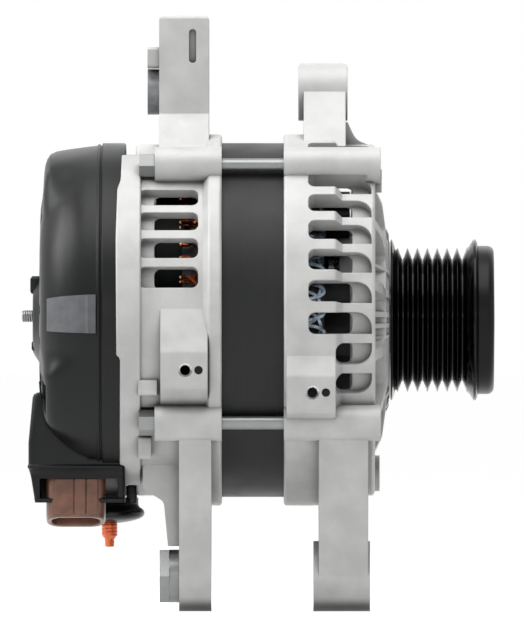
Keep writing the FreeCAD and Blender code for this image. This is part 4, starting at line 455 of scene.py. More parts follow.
def tube(path, outward, radius, sides=8, flat=1.0):
    """Round wire along a path: a ring of cosine of the outward direction plus sine of the one square to it
    and to the path, the second times flat, closed to a point at both ends."""
    beside = np.cross(unit(np.gradient(path, axis=0)), outward)
    ring = np.linspace(0, TURN, sides, endpoint=False)
    path, outward, beside = (np.concatenate([field[:1], field, field[-1:]]) for field in (path, outward, beside))
    reach = np.concatenate([[0.0], np.full(len(path) - 2, radius), [0.0]])[:, None, None]
    rings = path[:, None, :] + reach * (np.cos(ring)[None, :, None] * outward[:, None, :]
                                        + flat * np.sin(ring)[None, :, None] * beside[:, None, :])
    return rings.reshape(-1, 3), grid_faces(len(path), sides)


def rounded_outline(x_low, x_high, y_low, y_high, corner, splits=()):
    """Rectangle with quarter-circle corners of five points, in order round it, with extra points at the given
    x places of its near side."""
    arc = np.linspace(0, math.pi / 2, 5)
    centres = [(x_high - corner, y_low + corner, -math.pi / 2), (x_high - corner, y_high - corner, 0.0),
               (x_low + corner, y_high - corner, math.pi / 2), (x_low + corner, y_low + corner, math.pi)]
    corners = [np.stack([x + corner * np.cos(start + arc), y + corner * np.sin(start + arc)], 1)
               for x, y, start in centres]
    near = np.array([(x, y_low) for x in splits]).reshape(-1, 2)
    return np.concatenate(corners + [near])


def lofted(rows, splits=()):
    """Grid of rounded outlines, one for each row of (z, x_low, x_high, y_low, y_high, corner)."""
    layers = []
    for z, *sides in rows:
        outline = rounded_outline(*sides, splits=splits)
        layers.append(np.concatenate([outline, np.full((len(outline), 1), z)], 1))
    return np.stack(layers)


def pole(grid, row):
    """Middle point of a row of a grid, as many times as the row has points."""
    return np.repeat(grid[[row]].mean(axis=1, keepdims=True), grid.shape[1], 1)


def closed(grid):
    """Points and quads of a grid whose first and last rows are closed by their middle points."""
    grid = np.concatenate([pole(grid, 0), grid, pole(grid, -1)])
    return grid.reshape(-1, 3), grid_faces(*grid.shape[:2])


def border(mask, columns):
    """Grid edges between the cells where the mask is true and the others, as pairs of point numbers."""
    padded = np.pad(mask, ((1, 1), (0, 0)))
    i, j = np.nonzero(padded[1:] != padded[:-1])
    level = np.stack([i * columns + j, i * columns + (j + 1) % columns], 1)
    i, j = np.nonzero(mask != np.roll(mask, 1, axis=1))
    steep = np.stack([i * columns + j, (i + 1) * columns + j], 1)
    return np.concatenate([level, steep])


def moulding(outer, inner, kept, sunk=None, floor=None):
    """Shell between two grids of points: only the kept cells have faces, and quads join the two grids round
    every edge of them. Sunk cells lie on the floor grid instead, with walls down to it."""
    rows, columns = outer.shape[:2]
    count = rows * columns
    cells = grid_faces(rows, columns).reshape(rows - 1, columns, 4)
    sunk = np.zeros_like(kept) if sunk is None else sunk
    rim = border(kept, columns)
    faces = [cells[kept & ~sunk], cells[kept] + count, np.concatenate([rim, rim[:, ::-1] + count], 1)]
    points = [outer.reshape(-1, 3), inner.reshape(-1, 3)]
    if floor is not None:
        step = border(sunk, columns)
        faces += [cells[sunk] + 2 * count, np.concatenate([step, step[:, ::-1] + 2 * count], 1)]
        points.append(floor.reshape(-1, 3))
    return np.concatenate(points), np.concatenate(faces)


def smooth_step(value):
    """0 below 0, 1 above 1, and three times the square less twice the cube between."""
    value = np.clip(value, 0.0, 1.0)
    return value * value * (3 - 2 * value)


# ---------------------------------------------------------------- rear cover

# Front lip, band, groove and raised line of the cover, as (x, radius) in millimetres
COVER_BAND = [(-110.2, 63.0), (-110.4, 63.5), (-111.0, 63.7), (-118.3, 63.7), (-118.6, 63.5), (-118.75, 62.9),
              (-119.25, 62.85), (-119.45, 63.35), (-120.2, 63.3), (-120.4, 62.8)]
# The plain dome, which the near side shows, and the fuller crown at the top and over the nuts, row by row
COVER_DOME = [(-124.0, 62.2), (-127.0, 61.3), (-129.5, 60.1), (-131.6, 58.9), (-133.4, 57.8), (-135.0, 56.4),
              (-136.7, 54.6), (-138.1, 52.8), (-139.2, 50.9), (-140.0, 49.0), (-140.5, 47.2), (-140.8, 44.0)]
COVER_CROWN = [(-126.0, 62.1), (-131.0, 61.4), (-135.2, 60.7), (-137.4, 59.6), (-138.6, 57.8), (-139.1, 56.4),
               (-139.4, 54.8), (-139.6, 53.0), (-139.75, 51.0), (-139.85, 49.0), (-139.95, 47.2), (-140.3, 44.0)]
# The rear face and the hub
COVER_FACE = [(-140.9, 40.0), (-141.0, 36.5), (-141.1, 33.0), (-141.2, 30.0), (-141.2, 20.0), (-141.25, 15.8),
              (-141.5, 15.2), (-143.3, 12.4), (-143.7, 11.4), (-143.8, 8.0), (-143.8, 2.5)]
# Near side of the connector box: height, rear end, near face and corner, in millimetres
BOX_ROWS = [(-26.0, -141.8, -36.2, 1.0), (-26.6, -143.0, -37.5, 1.6), (-27.8, -143.5, -38.0, 2.0),
            (-44.0, -145.0, -38.0, 2.0), (-51.7, -145.0, -38.0, 1.8), (-52.2, -145.3, -38.6, 1.8),
            (-52.9, -145.3, -38.6, 1.8), (-53.4, -144.9, -38.0, 1.6), (-55.4, -144.3, -36.6, 1.0),
            (-56.8, -144.0, -36.9, 1.0), (-63.6, -142.9, -37.0, 1.0), (-64.1, -142.9, -38.0, 1.0),
            (-65.4, -142.6, -38.0, 1.0)]
# Front end, far face and ceiling of the box, and the window in its near wall along the shaft and in height
BOX_FRONT, BOX_FAR, BOX_CEILING = -110.4, -7.0, -28.4
BOX_WINDOW, BOX_WINDOW_HEIGHTS = (-140.9, -112.9), (-63.7, -56.9)
# Where the crown begins behind the band, the length over which it grows, and its least half angle
CROWN_START, CROWN_RUN, CROWN_LEAST = -120.0, 18.0, math.radians(6)
# Nut seats: angles from the top, half angles of the floor, of the crown round it and of the blend, the radii that
# the floor lies between, and its place along the shaft
SEAT_ANGLES = np.radians([0.0, 120.0, -120.0])
SEAT_HALF, SEAT_CROWN, SEAT_BLEND = np.radians([6.0, 8.0, 11.0])
SEAT_RADII, SEAT_FLOOR = (47.2, 57.8), -132.2
# Vents: angle of the first from the top, half angle, and the radii of the ends
VENT_FIRST, VENT_HALF = np.radians([12.0, 3.0])
VENT_RADII = (33.0, 44.0)
# Bare panel: ends along the shaft, its upper and lower edge in degrees over the level of the shaft, the skin's
# radius in front of the dome's first row, and how far the underside is sunk
PANEL_ENDS, PANEL_ANGLES = (-138.3, -120.7), (8.3, -4.3)
PANEL_FRONT_RADIUS, PANEL_SUNK = 62.7, 0.2
# Line of the bead on the box's near face, its two ends along the shaft, its radius, and the skin's radius in front
# of the dome's first row and behind its last one
BEAD_NEAR, BEAD_ENDS, BEAD_RADIUS, BEAD_SKIN = -38.05, (-120.6, -140.9), 0.4, (62.8, 44.0)
# Tabs on the hub: rear end, lower and upper edge and half width of each, and its front end and corner
HUB_TABS = [(-144.7, 9.0, 15.8, 4.5), (-144.2, -11.6, -7.2, 6.0)]
TAB_FRONT, TAB_CORNER = -140.6, 0.6


def cover_points(sizes, angle):
    """Outer skin of the dome as (row, angle, xyz) in metres. Each row is the dome's row blended into the
    crown's: fully crown within an angle of the top that grows towards the rear, and round each nut seat."""
    dome = np.array(COVER_BAND + COVER_DOME + COVER_FACE)
    crown = np.array(COVER_BAND + COVER_CROWN + COVER_FACE)
    rear = np.clip((CROWN_START - dome[:, 0]) / CROWN_RUN, 0, 1)[:, None]
    half = CROWN_LEAST + (sizes.crown_angle - CROWN_LEAST) * rear
    share = 1 - smooth_step((apart(angle)[None, :] - half) / sizes.crown_blend)
    for seat in SEAT_ANGLES:
        share = np.maximum(share, 1 - smooth_step((apart(angle, seat)[None, :] - SEAT_CROWN) / SEAT_BLEND))
    x = dome[:, :1] + (crown - dome)[:, :1] * share
    radius = dome[:, 1:] + (crown - dome)[:, 1:] * share
    return np.stack([x, -radius * np.sin(angle), radius * np.cos(angle)], 2) * MM


class COVER_OT_build(bpy.types.Operator):
    """Mould the rear cover: dome with its crown, vents and nut seats, bare panel, tabs and connector box.
    The inside is the outside moved in by the wall, square to the slope of x and radius from row to row"""
    bl_idname = "alternator.build_cover"
    bl_label = "Build rear cover"

    def execute(self, context):
        sizes = context.scene.cover_sizes
        columns = 240
        angle = np.linspace(0, TURN, columns, endpoint=False)
        outer = cover_points(sizes, angle)
        radial = np.hypot(outer[..., 1], outer[..., 2])
        out = outer * (1 - ALONG) / radial[..., None]
        slope_x, slope_r = np.gradient(outer[..., 0], axis=0), np.gradient(radial, axis=0)
        length = np.hypot(slope_x, slope_r)
        inward = (slope_x / length)[..., None] * out
        inward[..., 0] = -slope_r / length
        inner = outer + sizes.wall * inward

        row_radius = np.array([row[1] for row in COVER_BAND + COVER_DOME + COVER_FACE])
        middle = (row_radius[:-1] + row_radius[1:]) / 2
        behind = np.arange(len(middle)) >= len(COVER_BAND)
        cell_angle = angle + TURN / columns / 2
        pitch = TURN / sizes.vent_count
        near_vent = apart(cell_angle, VENT_FIRST, pitch) < VENT_HALF
        near_seat = np.min([apart(cell_angle, seat) for seat in SEAT_ANGLES], axis=0) < SEAT_HALF
        vents, sunk = ((behind & (middle > low) & (middle < high))[:, None] & near[None, :]
                       for (low, high), near in ((VENT_RADII, near_vent), (SEAT_RADII, near_seat)))
        floor = outer.copy()
        floor[..., 0] = SEAT_FLOOR * MM
        # The inside steps down under every corner of a sunk cell
        below = np.zeros(outer.shape[:2], bool)
        for shift_row in (0, 1):
            for shift_column in (0, 1):
                below[shift_row:shift_row + len(middle)] |= np.roll(sunk, shift_column, axis=1)
        inner[..., 0] = np.where(below, SEAT_FLOOR * MM + sizes.wall, inner[..., 0])
        dome = new_piece("moulded_cover", [moulding(outer, inner, ~vents, sunk, floor)], "housing", "cover")
        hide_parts("rear_cover")

        self.build_panel(sizes)
        self.build_box(sizes)
        self.build_trim()
        return {"FINISHED"}

    def build_panel(self, sizes):
        """Bare matt panel on the near side, a closed slab. Its section along the shaft goes up from the dome's
        skin, on at the panel's height, down to the skin, and back a little under it. The radius is the skin's
        plus that height, which is taken as 0 at the first and last angle."""
        steps = 26
        low, high = (math.radians(90 - tilt) for tilt in PANEL_ANGLES)
        angle = np.concatenate([[low], np.linspace(low, high, steps - 2), [high]])
        share = np.concatenate([[0.0], np.ones(steps - 2), [0.0]])
        x = np.linspace(*PANEL_ENDS, steps)
        x = np.concatenate([x[:1], x, x[-1:], x[::-1]])
        height = np.concatenate([[0.0], np.full(steps, sizes.panel_proud / MM), [0.0],
                                 np.full(steps, -PANEL_SUNK)])
        rows = np.array(COVER_DOME)
        skin = np.interp(-x, -rows[:, 0], rows[:, 1], left=PANEL_FRONT_RADIUS)
        radius = skin + share[:, None] * height
        grid = np.stack([np.repeat(x[None, :], len(angle), 0), -radius * np.sin(angle)[:, None],
                         radius * np.cos(angle)[:, None]], 2) * MM
        new_piece("cover_panel", [(grid.reshape(-1, 3), grid_faces(*grid.shape[:2]))], "housing", "panel")

    def build_box(self, sizes):
        """Connector box: rounded outlines over its height, hollow from below, with a window where the socket
        leans out of its near wall."""
        wall = sizes.wall / MM
        inner_corner = 0.3
        outer_rows = [(z, rear, BOX_FRONT, near, BOX_FAR, corner) for z, rear, near, corner in BOX_ROWS]
        inner_rows = [(min(z, BOX_CEILING), rear + wall, BOX_FRONT - wall, near + wall, BOX_FAR - wall,
                       inner_corner) for z, rear, near, corner in BOX_ROWS]
        outer, inner = (np.concatenate([pole(grid, 0), grid])
                        for grid in (lofted(outer_rows, BOX_WINDOW), lofted(inner_rows, BOX_WINDOW)))
        kept = np.ones((len(outer) - 1, outer.shape[1]), bool)
        heights = np.array([row[0] for row in BOX_ROWS])
        middle = (heights[:-1] + heights[1:]) / 2
        window_low, window_high = BOX_WINDOW_HEIGHTS
        # The window's cell is the last but one of a row, between the two extra points
        kept[1:][(middle > window_low) & (middle < window_high), -2] = False
        new_piece("connector_box", [moulding(outer * MM, inner * MM, kept)], "housing", "cover")

    def build_trim(self):
        """Thin bead where the dome meets the box, whose height is minus the root of the dome's radius squared
        less the near face's place squared, and the locating tabs on the hub."""
        rows = np.array(COVER_DOME)
        x = np.linspace(*BEAD_ENDS, 60)
        radius = np.interp(-x, -rows[:, 0], rows[:, 1], *BEAD_SKIN)
        near = np.full_like(x, BEAD_NEAR)
        path = np.stack([x, near, -np.sqrt(radius ** 2 - near ** 2)], 1)
        bead = tube(path * MM, unit(path * (1 - ALONG)), BEAD_RADIUS * MM)
        new_piece("cover_bead", [bead], "housing", "cover")
        tabs = []
        for x_low, z_low, z_high, half in HUB_TABS:
            lip = [(z_low, 1.6), (z_low + 0.5, 0.4), (z_low + 1.2, 0.0), (z_high - 1.0, 0.0), (z_high, 0.7)]
            tabs.append(closed(MM * lofted([(z, x_low + inset, TAB_FRONT, -half + inset, half - inset, TAB_CORNER)
                                            for z, inset in lip])))
        new_piece("hub_tabs", tabs, "housing", "cover")


# ---------------------------------------------------------------- connector and output terminal

# Half width and half depth of the socket, and its rows down the outside and up the inside: height over the mouth,
# inset of the outline and corner radius, in millimetres
SOCKET_HALF_X, SOCKET_HALF_Y = 10.6, 7.25
SOCKET_ROWS = [(16.0, 1.0, 1.6), (15.4, 0.2, 2.0), (14.0, 0.0, 2.2), (1.6, 0.0, 4.6), (0.4, 0.25, 5.0),
               (0.0, 0.7, 4.9), (0.1, 1.8, 4.2), (0.9, 2.05, 4.0), (11.0, 2.1, 1.6)]
# Three raised panels on its near face and two nubs on the far lip, as low and high x, z and y, and their corner
SOCKET_BLOCKS = [(-7.6, -0.8, 0.9, 14.2, -7.6, -7.0), (-0.4, 3.5, 0.9, 14.2, -7.75, -7.0),
                 (3.9, 7.9, 0.9, 14.2, -7.6, -7.0), (-2.6, -0.6, 0.4, 1.8, 7.0, 7.7),
                 (3.0, 4.6, 0.4, 1.8, 7.0, 7.7)]
BLOCK_CORNER = 0.2
# Height and radius down the outside of the cup, under its rim and up its bore
CUP_PROFILE = np.array([(-63.95, 2.7), (-63.95, 10.2), (-64.3, 10.4), (-66.6, 10.4), (-67.4, 10.9), (-68.2, 12.1),
                        (-69.0, 12.55), (-69.9, 12.6), (-70.7, 12.2), (-71.6, 10.8), (-72.4, 8.0), (-72.9, 5.0),
                        (-73.1, 3.6), (-73.1, 2.65), (-68.0, 2.65)])
# Tongue that fills the gap between the cover's lip and the bracket over the cup: its rows as height and inset
TONGUE_ROWS = [(-66.0, 0.8), (-65.9, 0.0), (-59.8, 0.0), (-59.5, 0.8)]


class SOCKET_OT_build(bpy.types.Operator):
    """Mould the connector socket with its panels, and the output terminal's insulating cup with its tongue.
    The socket is rounded outlines over its height, down the outside and up the inside, leant to its mount"""
    bl_idname = "alternator.build_socket"
    bl_label = "Build socket and cup"

    def execute(self, context):
        parts = [closed(lofted([(z, -SOCKET_HALF_X + inset, SOCKET_HALF_X - inset, -SOCKET_HALF_Y + inset,
                                 SOCKET_HALF_Y - inset, corner) for z, inset, corner in SOCKET_ROWS]))]
        for x_low, x_high, z_low, z_high, y_low, y_high in SOCKET_BLOCKS:
            lip = [(z_low, 0.25), (z_low + 0.3, 0.0), (z_high - 0.3, 0.0), (z_high, 0.25)]
            parts.append(closed(lofted([(z, x_low + inset, x_high - inset, y_low + inset, y_high, BLOCK_CORNER)
                                        for z, inset in lip])))
        mouth = next(mount for mount in frame["record"]["mounts"] if mount["name"] == "connector")
        axis_y, axis_z = mouth["axis"][1:]
        lean = np.array([[1, 0, 0], [0, -axis_z, -axis_y], [0, axis_y, -axis_z]])
        placed = [(points * MM @ lean.T + mouth["pos_m"], faces) for points, faces in parts]
        socket = new_piece("moulded_socket", placed, "housing", "socket")
        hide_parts("connector_socket")

        low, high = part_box("terminal_insulator")
        centre = ((low.x + high.x) / 2, (low.y + high.y) / 2, 0.0)
        tongue = lofted([(z, -110.15 + inset, -106.3 - inset, -3.5 + inset, 11.5 - inset, 0.6)
                         for z, inset in TONGUE_ROWS])
        parts = [turned(CUP_PROFILE * MM, 72, upright=True, centre=centre, close_rows=True), closed(tongue * MM)]
        cup = new_piece("insulating_cup", parts, "housing", "cup", crease=50)
        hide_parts("terminal_insulator")
        return {"FINISHED"}


# ---------------------------------------------------------------- windings

# Outer and inner layer of loops: where a loop starts, in slot pitches, the share of the loop span that it
# bridges and which way, and how far its end lies inwards and its top below the outer layer's, in millimetres
LOOP_LAYERS = [(0.0, 0.5, 0.4, 0.0), (0.45, -0.8, 0.3, 1.2)]
# Section of a resin bed, the nearly black ring of painted shade behind the loops: share of the way from its foot
# to its tip, and radius in millimetres
BED_SECTION = [(0, 51.6), (1, 51.6), (1, 52.6), (0, 53.2)]
# Outline of a weld bead, as (along, radius) in millimetres
BEAD_PROFILE = np.array([(-0.8, 0.0), (-0.6, 0.5), (0.0, 0.85), (0.6, 0.5), (0.8, 0.0)])
# Slot pitches that a welded bar end leans by, and how many times sooner than its tip it has leant over
WELD_LEAN, WELD_HASTE = 1.1, 1.4


def hairpin(angle_in, angle_out, radius_in, radius_out, foot_x, top_x, width, depth, steps=20):
    """One bar loop: it leaves a slot, turns over the crown and goes back in. The angle follows a smooth step
    between the two slots, and the height a sine to the power 0.55, so the sides rise straight."""
    share = np.linspace(0, 1, steps)
    angle = angle_in + (angle_out - angle_in) * smooth_step(share)
    rise = np.sin(math.pi * share) ** 0.55
    radius = radius_in + (radius_out - radius_in) * share
    outward = spokes(angle)
    path = radius[:, None] * outward
    path[:, 0] = foot_x + (top_x - foot_x) * rise
    side = unit(np.cross(outward, np.gradient(path, axis=0)))
    return swept_bar(path, side, outward, width, depth)


class WINDING_OT_build(bpy.types.Operator):
    """Bend the loops of the crown, the bars in the slots and the welded bar ends. A bar end leans evenly to one
    side and then stays there, and nears the middle of the two layers by half the cube of its share of the way"""
    bl_idname = "alternator.build_windings"
    bl_label = "Build windings"

    def execute(self, context):
        sizes = context.scene.winding_sizes
        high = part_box("hairpin_windings")[1]
        core_low, core_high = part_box("stator_core")
        weld_low, weld_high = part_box("welded_ends")
        pitch = TURN / sizes.slot_count
        # The middles of the two layers are a little more than a bar's depth apart
        outer = high.z - sizes.bar_depth * 0.5
        inner = outer - sizes.bar_depth * 1.05
        top = high.x - 0.5 * sizes.bar_width
        loops = []
        for slot in range(sizes.slot_count):
            start = slot * pitch
            out = spokes(start)
            side = np.cross(out, ALONG)
            for radius, (begin, span, inset, lower) in zip((outer, inner), LOOP_LAYERS):
                loops.append(hairpin(start + begin * pitch, start + span * sizes.loop_span * pitch, radius,
                                     radius - inset * MM, core_high.x, top - lower * MM, sizes.bar_width,
                                     sizes.bar_depth))
                ends = np.outer([core_low.x - 1.0 * MM, core_high.x + 0.5 * MM], ALONG) + out * radius
                loops.append(swept_bar(ends, side, out, sizes.bar_width, sizes.bar_depth))
        crown = new_piece("hairpin_crown", loops, "housing", "crown")
        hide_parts("hairpin_windings")

        # Resin bed behind the loops and behind the welded ends: a nearly black ring that thins towards its tip,
        # painted shade for the inside of the winding
        beds = []
        for foot, tip in ((core_high.x, high.x - 0.6 * MM), (core_low.x, weld_low.x + 1.4 * MM)):
            profile = [(foot + (tip - foot) * share, radius * MM) for share, radius in BED_SECTION]
            beds.append(turned(profile, 96, close_rows=True))
        new_piece("winding_bed_painted_shade", beds, "housing", "resin")

        ends, beads = [], []
        share = np.linspace(0, 1, 9)
        bead, bead_faces = turned(BEAD_PROFILE * MM, 6)
        for slot in range(sizes.slot_count):
            for radius, lean in ((outer, WELD_LEAN), (inner, -WELD_LEAN)):
                out = spokes((slot + lean * np.clip(share * WELD_HASTE, 0, 1)) * pitch)
                path = out * (radius + (0.5 * (outer + inner) - radius) * share[:, None] ** 3 * 0.5)
                path[:, 0] = weld_high.x + (weld_low.x + 0.8 * MM - weld_high.x) * share
                side = unit(np.cross(out, np.gradient(path, axis=0)))
                # Stripped of its enamel, a bar end is a little thinner
                ends.append(swept_bar(path, side, out, sizes.bar_width * 0.9, sizes.bar_depth * 0.8))
                beads.append((bead + path[-1], bead_faces))
        welds = new_piece("welded_bar_ends", ends, "housing", "bare")
        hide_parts("welded_ends")
        new_piece("weld_beads", beads, "housing", "bead", crease=70)
        return {"FINISHED"}


class FAN_OT_build(bpy.types.Operator):
    """Press the two fans: a disc with swept blades that stand up from it. A blade's angle turns by the sweep
    times its share of the way out to the power 1.2"""
    bl_idname = "alternator.build_fans"
    bl_label = "Build fans"

    def execute(self, context):
        sizes = context.scene.fan_sizes
        for node, facing in (("front_fan", 1), ("rear_fan", -1)):
            low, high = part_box(node)
            root_x, height = (low.x if facing > 0 else high.x), high.x - low.x
            bore, reach = 10.5 * MM, high.z
            disc = [(root_x, bore), (root_x + facing * sizes.sheet, bore),
                    (root_x + facing * sizes.sheet, reach - 0.4 * MM), (root_x, reach)]
            parts = [turned(disc, 90, close_rows=True)]
            share = np.linspace(0, 1, 12)
            radius = sizes.blade_root + (reach - 0.3 * MM - sizes.blade_root) * share
            for blade in range(sizes.blade_count):
                angle = blade * TURN / sizes.blade_count - facing * sizes.blade_sweep * share ** 1.2
                path = radius[:, None] * spokes(angle)
                path[:, 0] = root_x + facing * (height + sizes.sheet) / 2
                beside = np.cross(unit(np.gradient(path, axis=0)), ALONG)
                parts.append(swept_bar(path, ALONG, beside, height - sizes.sheet - 0.1 * MM, sizes.sheet))
            fan = new_piece("pressed_" + node, parts, "rotor", "sheet")
            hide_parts(node)
        return {"FINISHED"}


# ---------------------------------------------------------------- pulley

class PULLEY_OT_build(bpy.types.Operator):
    """Turn the grooved pulley shell with its two sharp flanges: V grooves a pitch apart, swept round the
    shaft"""
    bl_idname = "alternator.build_pulley"
    bl_label = "Build pulley"

    def execute(self, context):
        sizes = context.scene.pulley_sizes
        rear, front = (corner.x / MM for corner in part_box("pulley_shell"))
        tip, ridge, valley, pitch = np.array([sizes.flange_radius, sizes.ridge_radius, sizes.valley_radius,
                                              sizes.pitch]) / MM
        # Bore, and half widths of the flat on a ridge and of the one in a groove
        bore, crest, root = 16.5, 0.1, 0.22
        start = -pitch * sizes.groove_count / 2
        # Rear flange: a thin tip that slopes into the first ridge
        profile = [(rear, bore), (rear, tip - 0.5), (rear + 0.25, tip), (rear + 0.55, tip),
                   (rear + 1.5, ridge + 0.5), (rear + 1.9, ridge - 0.9)]
        for groove in range(sizes.groove_count):
            x = start + groove * pitch
            profile += [(x - crest, ridge), (x + crest, ridge),
                        (x + pitch / 2 - root, valley), (x + pitch / 2 + root, valley)]
        # Front flange: the last ridge runs up to a thicker tip with a bevelled face
        profile += [(-start - crest, ridge), (-start + 0.7, ridge + 0.5), (front - 1.7, tip - 0.2),
                    (front - 1.3, tip), (front - 0.8, tip), (front - 0.2, tip - 1.2), (front, tip - 2.6),
                    (front, bore)]
        shell = new_piece("grooved_shell", [turned(np.array(profile) * MM, 160, close_rows=True)], "pulley",
                          "pulley")
        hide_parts("pulley_shell")
        return {"FINISHED"}


# ---------------------------------------------------------------- casting details

# Rear edge of the cast rim on the near side, as (height over the shaft, x) in millimetres
RIM_EDGE = [(-59.4, -112.3), (-13.6, -112.0), (-13.2, -113.3), (30.0, -113.6), (47.0, -113.1), (50.5, -111.9),
            (59.4, -111.6)]
# Radii of the rim's inside, of the face that laps over the cover's lip and of its outside, its front face and the
# step behind the lip along the shaft, and the height over and under the shaft at which it ends
RIM_INSIDE, RIM_LAP, RIM_OUTSIDE = 59.3, 64.0, 64.5
RIM_FRONT, RIM_STEP, RIM_HEIGHT = -104.6, -109.95, 59.2
# Height over the shaft and width of each fin on the near side, the radius at which it has that height, the
# fin's line as (x, distance from the shaft), and its depth
FINS = [(18.0, 1.5), (9.7, 2.9), (1.9, 2.0), (-2.0, 1.7), (-6.1, 1.2)]
FIN_RADIUS, FIN_DEPTH = 33.0, 3.0
FIN_LINE = np.array([(-21.2, 35.5), (-20.4, 34.5), (-16.4, 31.0), (-15.7, 29.4)])


class CASTING_OT_build(bpy.types.Operator):
    """Cast the near rim that laps over the cover's lip, and the fins round the drive end's nose. The rim is a
    section of eight points carried round the shaft, whose rear edge follows the height of each angle"""
    bl_idname = "alternator.build_castings"
    bl_label = "Build cast details"

    def execute(self, context):
        half = math.acos(RIM_HEIGHT / RIM_OUTSIDE)
        angle = np.linspace(math.pi + half, TURN - half, 150)
        edge = np.interp(RIM_OUTSIDE * np.cos(angle), *np.array(RIM_EDGE).T)
        # Round the section: lapped face, step down behind the lip, front face, outside and its soft corners
        section = [(edge, RIM_LAP), (RIM_STEP, RIM_LAP), (RIM_STEP, RIM_INSIDE), (RIM_FRONT, RIM_INSIDE),
                   (RIM_FRONT, RIM_OUTSIDE - 0.6), (RIM_FRONT - 0.4, RIM_OUTSIDE),
                   (edge + 0.5, RIM_OUTSIDE), (edge, RIM_OUTSIDE - 0.3)]
        rim = np.stack([radius * spokes(angle) + np.broadcast_to(x, angle.shape)[:, None] * ALONG
                        for x, radius in section], 1)
        new_piece("cast_rim", [closed(rim * MM)], "housing", "casting")
        fins = []
        for height, width in FINS:
            for quarter in range(4):
                out = spokes(-math.pi / 2 + math.asin(height / FIN_RADIUS) + quarter * math.pi / 2)
                path = FIN_LINE @ np.stack([ALONG, out])
                fins.append(swept_bar(path * MM, np.cross(out, ALONG), out, width * MM, FIN_DEPTH * MM))
        new_piece("nose_fins", fins, "housing", "casting")
        return {"FINISHED"}


# ---------------------------------------------------------------- threads and springs

def shanked(rows, start, end):
    """Rows of a screw in metres: the given ones from the start on, then a plain shank to its closed end."""
    radius = rows[-1][1]
    rows = np.array(rows) + (start, 0.0, 0.0)
    return np.concatenate([rows, [(end - 0.01, radius, 0.0), (end, 0.0, 0.0)]]) * MM


def threaded_rod(rows, pitch, steps=32, per_turn=10):
    """Screw on the z axis from rows of (height, radius, depth): the radius drops by the depth times a V wave
    of height over pitch less angle over a turn. A row of radius 0 at each end closes it."""
    height, radius, depth = np.asarray(rows, float).T
    count = max(8, int((height[-1] - height[0]) / pitch * per_turn))
    fine = np.sort(np.concatenate([np.linspace(height[0], height[-1], count), height[1:-1]]))
    angle = np.linspace(0, TURN, steps, endpoint=False)
    wave = 1 - 2 * np.abs((fine[:, None] / pitch - angle[None, :] / TURN) % 1.0 - 0.5)
    reach = np.interp(fine, height, radius)[:, None] - np.interp(fine, height, depth)[:, None] * wave
    points = np.stack([reach * np.cos(angle), reach * np.sin(angle), np.repeat(fine[:, None], steps, 1)], 2)
    return points.reshape(-1, 3), grid_faces(len(fine), steps)


# Output stud from its lower end up: dog point, thread and the shank's start, and rear stud from its rear end, as
# height, radius and thread depth in millimetres; what is left of each has the radius of its last row
STUD_ROWS = [(0.0, 0.0, 0.0), (0.01, 1.3, 0.0), (0.4, 1.72, 0.05), (2.8, 1.75, 0.1), (3.3, 2.2, 0.1),
             (4.2, 2.9, 0.16), (7.9, 2.92, 0.16), (8.5, 2.6, 0.0)]
REAR_STUD_ROWS = [(0.0, 0.0, 0.0), (0.01, 1.7, 0.0), (0.5, 2.18, 0.2), (5.4, 2.18, 0.18), (5.8, 2.15, 0.0)]


class THREAD_OT_build(bpy.types.Operator):
    """Cut the visible threads of the output stud, the rear stud and the block bosses. A block's thread is a
    flattened wire along a helix: the bore's radius round its axis, a pitch further in with each turn"""
    bl_idname = "alternator.build_threads"
    bl_label = "Build threads"

    def execute(self, context):
        sizes = context.scene.thread_sizes
        low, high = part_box("terminal_stud")
        centre = ((low.x + high.x) / 2, (low.y + high.y) / 2, 0.0)
        points, faces = threaded_rod(shanked(STUD_ROWS, low.z / MM, high.z / MM), sizes.stud_pitch)
        stud = new_piece("output_stud_thread", [(points + centre, faces)], "housing", "stud",
                         crease=60)
        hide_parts("terminal_stud")

        low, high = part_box("rear_stud")
        points, faces = threaded_rod(shanked(REAR_STUD_ROWS, 0.0, (high.x - low.x) / MM), sizes.rear_pitch)
        axis_y, axis_z = (low.y + high.y) / 2, (low.z + high.z) / 2
        points = np.stack([low.x + points[:, 2], axis_y + points[:, 0], axis_z + points[:, 1]], 1)
        rear = new_piece("rear_stud_thread", [(points, faces)], "housing", "zinc", crease=60)
        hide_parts("rear_stud")

        turns = []
        count, per_turn, first_depth, wire = 7, 24, 0.45 * MM, 0.75 * MM
        turn = TURN * np.linspace(0, count, count * per_turn)
        outward = np.stack([np.cos(turn), np.zeros_like(turn), np.sin(turn)], 1)
        depth = first_depth + sizes.block_pitch * turn / TURN
        for mount in frame["record"]["mounts"]:
            if mount["name"].endswith("block_thread"):
                path = np.array(mount["pos_m"]) + outward * (mount["dims"]["r_mm"] * MM)
                path[:, 1] += depth
                turns.append(tube(path, outward, wire, 4, flat=0.4))
        new_piece("block_thread_turns", turns, "housing", "cut")
        return {"FINISHED"}


class SPRING_OT_build(bpy.types.Operator):
    """Wind the two brush springs: a helix of even rise from one end of the spring's box to the other"""
    bl_idname = "alternator.build_springs"
    bl_label = "Build brush springs"

    def execute(self, context):
        coil, wire, turns, steps = 1.65 * MM, 0.24 * MM, 5, 96
        for end in ("front", "rear"):
            node = end + "_brush_spring"
            low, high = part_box(node)
            middle = (low + high) / 2
            turn = TURN * turns * np.linspace(0, 1, steps)
            outward = np.stack([np.cos(turn), np.sin(turn), np.zeros(steps)], 1)
            path = np.array([middle.x, middle.y, 0.0]) + coil * outward
            path[:, 2] = np.linspace(low.z + wire, high.z - wire, steps)
            spring = new_piece(end + "_spring_coil", [tube(path, outward, wire)], "housing", "spring",
                               crease=70)
            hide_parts(node)
            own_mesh(spring)
        return {"FINISHED"}


